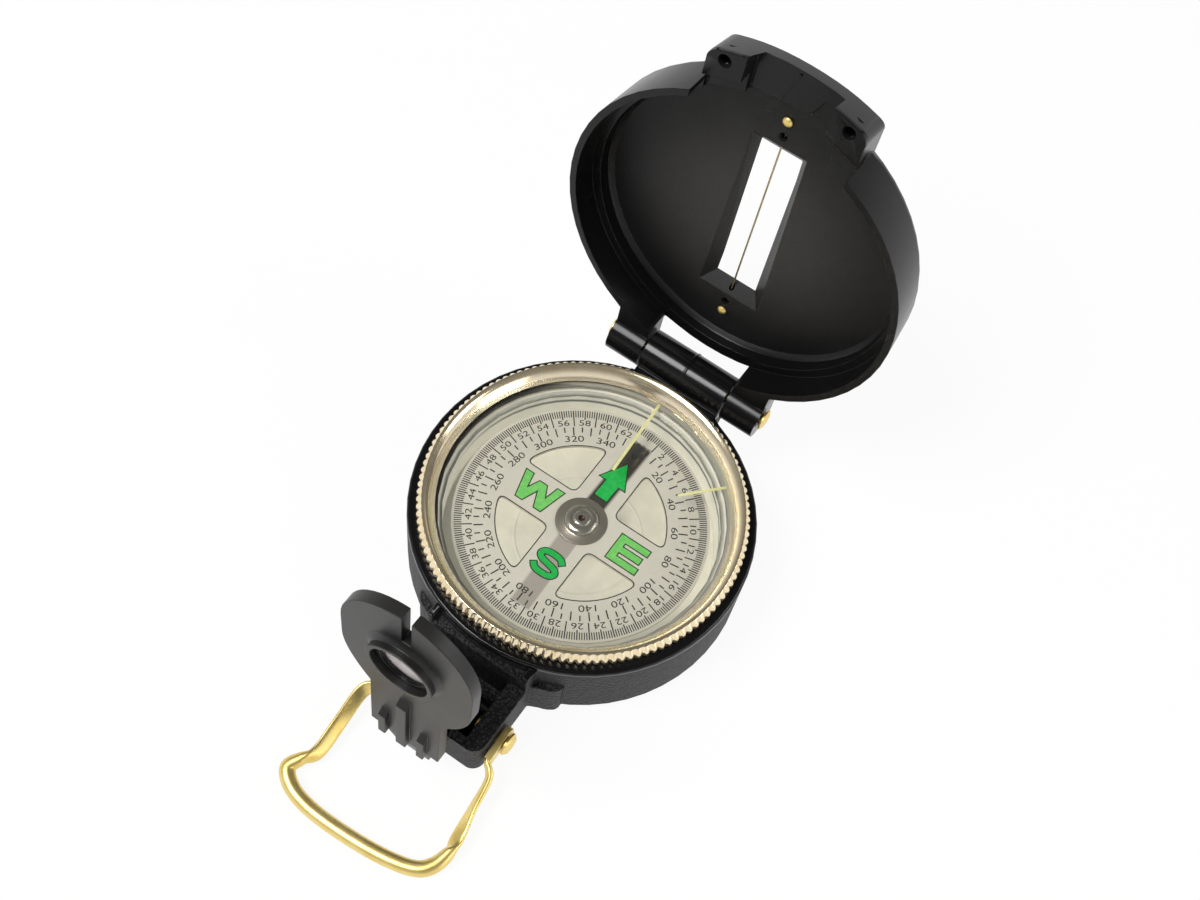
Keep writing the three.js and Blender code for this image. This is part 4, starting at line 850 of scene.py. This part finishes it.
bezel_solid = turned([(radius, height) for radius, height, _ in bezel_outline], RIB_COUNT * RIB_STEPS)
share_of_rib = {(radius, height): share for radius, height, share in bezel_outline}
for vert in bezel_solid.verts:
    radius = hypot(vert.co.x, vert.co.y)
    share = share_of_rib[round(radius / MM, 2), round(vert.co.z / MM, 2)]
    if share:
        sink = 0.5 - 0.5 * cos(RIB_COUNT * atan2(vert.co.y, vert.co.x))
        factor = 1 - share * RIB_DEPTH * MM * sink ** RIB_SHARPNESS / radius
        vert.co.x *= factor
        vert.co.y *= factor


def bezel_paint(start):
    place, x, y, _ = place_in_mm(start)
    wear = noise(start, place, 420)
    fine = noise(start, place, 4200)
    radius = distance(x, y)
    cone = 1 - radius.ramp(*CONE_RIM)
    champagne = blend(start, wear.ramp(0.3, 0.7), BEZEL_GOLD, BEZEL_PALE)
    # The inner cone is the same anodised metal, painted paler and made less metallic there: a painted sheen
    # for the bright surroundings it mirrors.
    return {"Base Color": blend(start, 1 - radius.ramp(*CONE_INNER), champagne, CONE_PALE),
            "Roughness": 0.22 + 0.04 * wear - 0.09 * cone, "Metallic": 0.92 - 0.1 * cone,
            "Normal": bump(start, fine, BEZEL_GRAIN)}


bezel_metal = finish("gilt_metal", {}, bezel_paint)
shown("bezel_crown", bezel_solid, "bezel", "bezel_metal", bezel_metal, "bezel_ring")
CRYSTAL_SEAL_INNER = 23.6
# Painted shade on the crystal seal's left side, so many mm wide.
CRYSTAL_SEAL_SHADE = 0.9
shown("crystal_seal", moulded("crystal_gasket"), "bezel", "black_seal",
      seal_finish("crystal_silicone", CRYSTAL_SEAL_INNER, CRYSTAL_SEAL_SHADE), "crystal_gasket")
painted_node("bezel_crystal", crystal_clear)

# Night lines: two strokes of pale yellow luminous paint under the crystal, a long one for the line of sight
# and a short one to set a course by.
crystal_low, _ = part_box("bezel_crystal")
LINE_GAP = 0.005
LINE_THICKNESS = 0.04
LINE_TOP = crystal_low.z / MM - LINE_GAP
LINE_FOOT = LINE_TOP - LINE_THICKNESS
LINE_OUTER = 24.4
SIGHT_LINE_BEARING = -2.3
SIGHT_LINE_FROM = 9.2
SIGHT_LINE_WIDTH = 0.52
COURSE_LINE_BEARING = 42.8
COURSE_LINE_FROM = 16.0
COURSE_LINE_WIDTH = 0.48
LINE_YELLOW = (0.74, 0.70, 0.30, 1)
LINE_PALE = (0.80, 0.77, 0.42, 1)
lines = bmesh.new()
tick(lines, SIGHT_LINE_BEARING, SIGHT_LINE_FROM, LINE_OUTER, SIGHT_LINE_WIDTH, LINE_FOOT, LINE_TOP)
tick(lines, COURSE_LINE_BEARING, COURSE_LINE_FROM, LINE_OUTER, COURSE_LINE_WIDTH, LINE_FOOT, LINE_TOP)
shown("night_lines", lines, "bezel", "crystal", ink_finish("luminous_paint", LINE_YELLOW, LINE_PALE))

# Hinge: a brass pin through all three knuckles, its ends peened to low domes. The case's knuckle has the
# raised seam that its two tool halves leave.
BRASS = (0.80, 0.60, 0.19, 1)
BRASS_PALE = (0.86, 0.69, 0.27, 1)


def brass_paint(start):
    place = rest_place(start)
    tarnish = noise(start, place, 330)
    scratches = noise(start, place, 2400)
    return {"Base Color": blend(start, tarnish.ramp(0.3, 0.7), BRASS, BRASS_PALE),
            "Roughness": 0.34 + 0.05 * tarnish + 0.02 * scratches}


polished_brass = finish("polished_brass", {"Metallic": 0.88}, brass_paint)
shown("hinge_rod", moulded("hinge_pin"), "case", "brass", polished_brass, "hinge_pin")

SEAM_PROFILE = [(3.5, -0.28), (3.6, -0.28), (3.7, -0.14), (3.73, 0), (3.7, 0.14), (3.6, 0.28), (3.5, 0.28)]
SEAM_SIDES = 72
seam = turned(SEAM_PROFILE, SEAM_SIDES)
seam.transform(Matrix.Translation((0, HINGE_Y * MM, HINGE_Z * MM)) @ Matrix.Rotation(pi / 2, 4, "Y"))
shown("hinge_seam", seam, "case", "case_plastic", case_plastic)

# Cover: a deep black dish in the same plastic, its floor with a fine grey spark finish and a painted sheen
# that makes it paler in the middle, the walls polished. Two drilled ears stand on the far tab, and the slot
# is bevelled all round.
COVER_BLACK = (0.0045, 0.0045, 0.005, 1)
COVER_FLOOR_GREY_AND_SHEEN = (0.030, 0.0285, 0.0275, 1)
OPEN_ANGLE = radians(95.2)
FLOOR_LEVEL = 22.9
EAR_HOLE_X = 9.9
EAR_HOLE_Y = -30.5
EAR_HOLE_RADIUS = 1.1
EAR_HOLE_BOTTOM = 20.4
FLOOR_RADIUS = 25.2
SHEEN_FADE = (5, 24)
SPARK_DEPTH = 0.00004
HOLE_PAINTED_SHADE = (0.0008, 0.0008, 0.0008, 1)


def opened(x, y, z):
    """The place in metres, with the cover open, of a point given in mm with the cover shut."""
    ahead, above = y - HINGE_Y, z - HINGE_Z
    return Vector((x, HINGE_Y + cos(OPEN_ANGLE) * ahead + sin(OPEN_ANGLE) * above,
                   HINGE_Z - sin(OPEN_ANGLE) * ahead + cos(OPEN_ANGLE) * above)) * MM


def shut(y, z):
    """The place in mm, with the cover shut, of a point given in mm with the cover open."""
    ahead, above = y - HINGE_Y, z - HINGE_Z
    return (HINGE_Y + cos(OPEN_ANGLE) * ahead - sin(OPEN_ANGLE) * above,
            HINGE_Z + sin(OPEN_ANGLE) * ahead + cos(OPEN_ANGLE) * above)


def cover_paint(start):
    place, x, y, z = place_in_mm(start)
    shut_y, shut_z = shut(y, z)
    radius = distance(x, shut_y)
    knuckle = distance(y - HINGE_Y, z - HINGE_Z) < BARREL_RADIUS
    # Painted shade: the ear holes are painted near black and matte, for the shade inside them.
    from_hole = distance(abs(x) - EAR_HOLE_X, shut_y - EAR_HOLE_Y)
    hole = (from_hole < EAR_HOLE_RADIUS) * (shut_z < EAR_HOLE_BOTTOM)
    dish = 1 - radius.ramp(FLOOR_RADIUS, FLOOR_RADIUS + 0.8)
    floor = shut_z.ramp(FLOOR_LEVEL - 0.7, FLOOR_LEVEL - 0.2) * dish
    spark = noise(start, place, 4200, 4.0)
    patches = noise(start, place, 140)
    # Spark finish with a painted sheen: the floor's grey fades from a pale middle towards dark edges.
    spark_and_sheen = floor * (0.55 + 0.9 * spark) * (1 - 0.95 * radius.ramp(*SHEEN_FADE))
    colour = blend(start, spark_and_sheen, COVER_BLACK, COVER_FLOOR_GREY_AND_SHEEN)
    return {"Base Color": blend(start, hole, colour, HOLE_PAINTED_SHADE),
            "Roughness": 0.22 + 0.08 * patches + 0.14 * floor - 0.08 * knuckle + 0.6 * hole,
            "Normal": bump(start, spark * (0.1 + 0.9 * floor), SPARK_DEPTH)}


cover_plastic = finish("cover_plastic_black", {"Specular IOR Level": 0.22}, cover_paint)
EAR_LEVEL = 18.0
BACK_LEVEL = 25.6
TAB_ROOT = -27.5
TAB_LEAN = 0.72
TAB_LEAN_RISE = 0.009
TAB_LEAN_RUN = 2.5
cover_solid = moulded("cover_shell", edge=0.1, shortest=1.4)
for vert in cover_solid.verts:
    x = vert.co.x / MM
    y, z = shut(vert.co.y / MM, vert.co.z / MM)
    if y < TAB_ROOT and z > EAR_LEVEL:
        lean = (TAB_LEAN + TAB_LEAN_RISE * x) * min(1, (TAB_ROOT - y) / TAB_LEAN_RUN)
        vert.co = opened(x, y + lean * (z - EAR_LEVEL) / (BACK_LEVEL - EAR_LEVEL), z)
shown("cover_body", cover_solid, "cover", "cover_plastic", cover_plastic, "cover_shell")

RIDGE_ENDS = ((-2.1, -25.7), (-0.1, -31.6))
RIDGE_WIDTH = 0.35
RIDGE_HEIGHT = 0.22
PLATFORM_LEVEL = 21.9
ridge = bmesh.new()
raised(ridge, stroke(RIDGE_ENDS, RIDGE_WIDTH), PLATFORM_LEVEL - RIDGE_HEIGHT, PLATFORM_LEVEL)
for vert in ridge.verts:
    vert.co = opened(*(vert.co / MM))
shown("tab_ridge", ridge, "cover", "cover_plastic", cover_plastic)

# Sighting wire: drawn steel, browned with age, stretched across the slot and wound on two brass pins that
# are pressed into the cover's floor.
WIRE_BRONZE = (0.32, 0.25, 0.14, 1)
WIRE_BRIGHT = (0.52, 0.43, 0.27, 1)


def wire_paint(start):
    drawn = noise(start, rest_place(start), 800)
    return {"Base Color": blend(start, drawn, WIRE_BRONZE, WIRE_BRIGHT), "Roughness": 0.25 + 0.15 * drawn}


wire_bronze = finish("wire_bronze", {"Metallic": 1.0}, wire_paint)
shown("sighting_wire", moulded("sight_wire"), "cover", "steel", wire_bronze, "sight_wire")
shown("wire_pin_far", moulded("wire_pin_upper"), "cover", "brass", polished_brass, "wire_pin_upper")
shown("wire_pin_near", moulded("wire_pin_lower"), "cover", "brass", polished_brass, "wire_pin_lower")

# Lens bracket: a satin black moulding that swings up on a blackened steel pin, with a sighting notch, three
# ribs and a thick collar round the magnifier.
BRACKET_BLACK = (0.0090, 0.0085, 0.0080, 1)
BRACKET_GREY = (0.0155, 0.0146, 0.0136, 1)
BRACKET_RELIEF = 0.00002


def bracket_paint(start):
    place = rest_place(start)
    flow = noise(start, place, 120)
    spark = noise(start, place, 3800)
    return {"Base Color": blend(start, flow.ramp(0.3, 0.75), BRACKET_BLACK, BRACKET_GREY),
            "Roughness": 0.34 + 0.12 * flow, "Normal": bump(start, spark, BRACKET_RELIEF)}


bracket_plastic = finish("bracket_plastic_grey", {"Specular IOR Level": 0.34}, bracket_paint)
shown("bracket_body", moulded("lens_bracket", edge=0.13), "bracket", "bracket_plastic", bracket_plastic,
      "lens_bracket")
shown("lens_ring", moulded("lens_retainer_ring", edge=0.1), "bracket", "cover_plastic", cover_plastic,
      "lens_retainer_ring")
PIN_BLACK = (0.012, 0.012, 0.012, 1)
PIN_WORN = (0.05, 0.048, 0.045, 1)


def pin_paint(start):
    wear = noise(start, rest_place(start), 700)
    colour = blend(start, wear.ramp(0.5, 0.8), PIN_BLACK, PIN_WORN)
    return {"Base Color": colour, "Roughness": 0.35 + 0.15 * wear}


painted_node("bracket_pin", finish("pin_blackened", {"Metallic": 0.6}, pin_paint))

# Magnifier: a small convex lens ground from glass, held in the collar by its black ring. Its milky pink
# colour is a painted reflection of the bright surroundings, on glass that is partly see-through.
LENS_REFLECTION_DIM = (0.80, 0.74, 0.73, 1)
LENS_REFLECTION_PALE = (0.86, 0.80, 0.79, 1)


def lens_paint(start):
    clouds = noise(start, rest_place(start), 420)
    # Painted reflection: the milky pink base colour.
    return {"Base Color": blend(start, clouds, LENS_REFLECTION_DIM, LENS_REFLECTION_PALE), "Roughness": 0.06 + 0.04 * clouds,
            "Alpha": 0.58 + 0.1 * clouds}


lens_glass = finish("lens_glass", {"IOR": 1.5}, lens_paint)
shown("lens_disc", moulded("magnifier_lens"), "bracket", "crystal", lens_glass, "magnifier_lens")

# Thumb loop: brass wire bent to a bow, its legs hammered flat and pinched where they turn, hung on two
# brass rivets through the arms of the tail.
shown("rivet_left", moulded("loop_rivet_left"), "case", "brass", polished_brass, "loop_rivet_left")
shown("rivet_right", moulded("loop_rivet_right"), "case", "brass", polished_brass, "loop_rivet_right")

LOOP_PIVOT_Y = -36.4
LOOP_PIVOT_Z = 4.7
LOOP_LENGTH = 26.1
LOOP_WIRE = 2.62
# Each station of a leg is its x and y from the pivot, its height, its thickness and its lean in degrees.
LOOP_RIGHT_LEG = [
    (10.5, -1.7, 3.3, 1.1, 0), (10.5, -4, 3.3, 1.1, 0), (12.3, -6.2, 2.6, 1.2, 16),
    (13.0, -11.5, 2.6, 1.0, 30), (13.8, -16.8, 2.6, 0.9, 58), (14.0, -19, LOOP_WIRE, 2.1, 0),
]
LOOP_BOW = [
    (13.2, -21.8), (11.2, -23.8), (6.6, -25.1), (0, -25.8), (-7.0, -25.85), (-11.7, -24.9), (-14.4, -22.8),
]
LOOP_LEFT_LEG = [
    (-13.6, -20.45, LOOP_WIRE, 2.1, 0), (-12.1, -18.1, 2.6, 0.8, 44), (-12.2, -12.15, 2.6, 0.8, 46),
    (-12.3, -6.2, 2.6, 0.8, 45), (-10.5, -4, 3.3, 1.1, 0), (-10.5, -1.7, 3.3, 1.1, 0),
]
LOOP_CLEARANCE = 0.01
LOOP_FLATTEST = 1.5
LOOP_STEPS = 14
LOOP_SIDES = 28
SQUARENESS = 0.75
STRAP_INNER = 9.9
STRAP_THICKNESS = 1.2
STRAP_HALF = 1.7
STRAP_END = 2.4
STRAP_ROUND = 0.12
STRAP_ROOT = -4.0
STRAP_WELD = 0.002
RIVET_HOLE = 1.2
RIVET_HOLE_SIDES = 24
loop_drop = LOOP_PIVOT_Z - LOOP_WIRE / 2 - LOOP_CLEARANCE
loop_slope = Matrix.Rotation(asin(loop_drop / LOOP_LENGTH), 4, "X")
loop_place = Matrix.Translation((0, LOOP_PIVOT_Y * MM, LOOP_PIVOT_Z * MM)) @ loop_slope


def eased(value):
    """A cosine or sine drawn towards its ends, so that a hammered section gets flat sides."""
    return abs(value) ** SQUARENESS * (1 if value > 0 else -1)


bow = bmesh.new()
up = Vector((0, 0, 1))
round_wire = [(x, y, LOOP_WIRE, LOOP_WIRE, 0) for x, y in LOOP_BOW]
line = smooth_line(LOOP_RIGHT_LEG + round_wire + LOOP_LEFT_LEG, LOOP_STEPS)
rings = []
for before, here, after in zip(line[:1] + line, line, line[1:] + line[-1:]):
    ahead = (Vector(after[:2]) - Vector(before[:2])).normalized()
    inward = Vector((ahead.y, -ahead.x, 0))
    x, y, height, thickness, lean = here
    tilt = radians(lean)
    across = (inward * cos(tilt) + up * sin(tilt)) * thickness / 2
    along = (up * cos(tilt) - inward * sin(tilt)) * height / 2
    flat = min(1.0, max(0.0, (height - thickness) / LOOP_FLATTEST))
    ring = []
    for side in range(LOOP_SIDES):
        c, s = cos(tau * side / LOOP_SIDES), sin(tau * side / LOOP_SIDES)
        c, s = c + flat * (eased(c) - c), s + flat * (eased(s) - s)
        ring.append(bow.verts.new((Vector((x, y, 0)) + across * c + along * s) * MM))
    rings.append(ring)
for near, far in zip(rings, rings[1:]):
    for side in range(LOOP_SIDES):
        after = (side + 1) % LOOP_SIDES
        bow.faces.new((near[side], far[side], far[after], near[after]))
bow.faces.new(rings[0])
bow.faces.new(rings[-1][::-1])
bow.transform(loop_place)
shown("loop_wire", bow, "loop", "brass", polished_brass, "thumb_loop")


def strap_eye(side):
    """The flat end of a leg: a plate with a round hole, drawn as a flat curve and stood on its edge."""
    plate = bpy.data.curves.new("plate", "CURVE")
    plate.dimensions = "2D"
    plate.fill_mode = "BOTH"
    plate.extrude = (STRAP_THICKNESS / 2 - STRAP_ROUND) * MM
    plate.bevel_depth = STRAP_ROUND * MM
    plate.bevel_resolution = 2
    plate.offset = -STRAP_ROUND * MM
    corner = STRAP_HALF * 0.65
    upper = [(STRAP_END, STRAP_HALF - corner), (STRAP_END - 0.3 * corner, STRAP_HALF * 0.8),
             (STRAP_END - corner, STRAP_HALF), (STRAP_ROOT, STRAP_HALF)]
    outline = [(y, -z) for y, z in reversed(upper)] + upper
    turns = [tau * i / RIVET_HOLE_SIDES for i in range(RIVET_HOLE_SIDES)]
    hole = [(RIVET_HOLE * cos(turn), RIVET_HOLE * sin(turn)) for turn in turns]
    for points in (outline, hole):
        spline = plate.splines.new("POLY")
        spline.points.add(len(points) - 1)
        spline.use_cyclic_u = True
        for point, (y, z) in zip(spline.points, points):
            point.co = (y * MM, z * MM, 0, 1)
    maker = bpy.data.objects.new("plate", plate)
    scene.collection.objects.link(maker)
    bpy.context.view_layer.update()
    flat = bpy.data.meshes.new_from_object(maker.evaluated_get(bpy.context.evaluated_depsgraph_get()))
    upright = Matrix(((0, 0, 1, 0), (1, 0, 0, 0), (0, 1, 0, 0), (0, 0, 0, 1)))
    aside = Matrix.Translation((side * (STRAP_INNER + STRAP_THICKNESS / 2) * MM, 0, 0))
    flat.transform(loop_place @ aside @ upright)
    solid = bmesh.new()
    solid.from_mesh(flat)
    bmesh.ops.remove_doubles(solid, verts=solid.verts, dist=STRAP_WELD * MM)
    bpy.data.objects.remove(maker)
    bpy.data.curves.remove(plate)
    bpy.data.meshes.remove(flat)
    return solid


shown("loop_eye_left", strap_eye(-1), "loop", "brass", polished_brass)
shown("loop_eye_right", strap_eye(1), "loop", "brass", polished_brass)
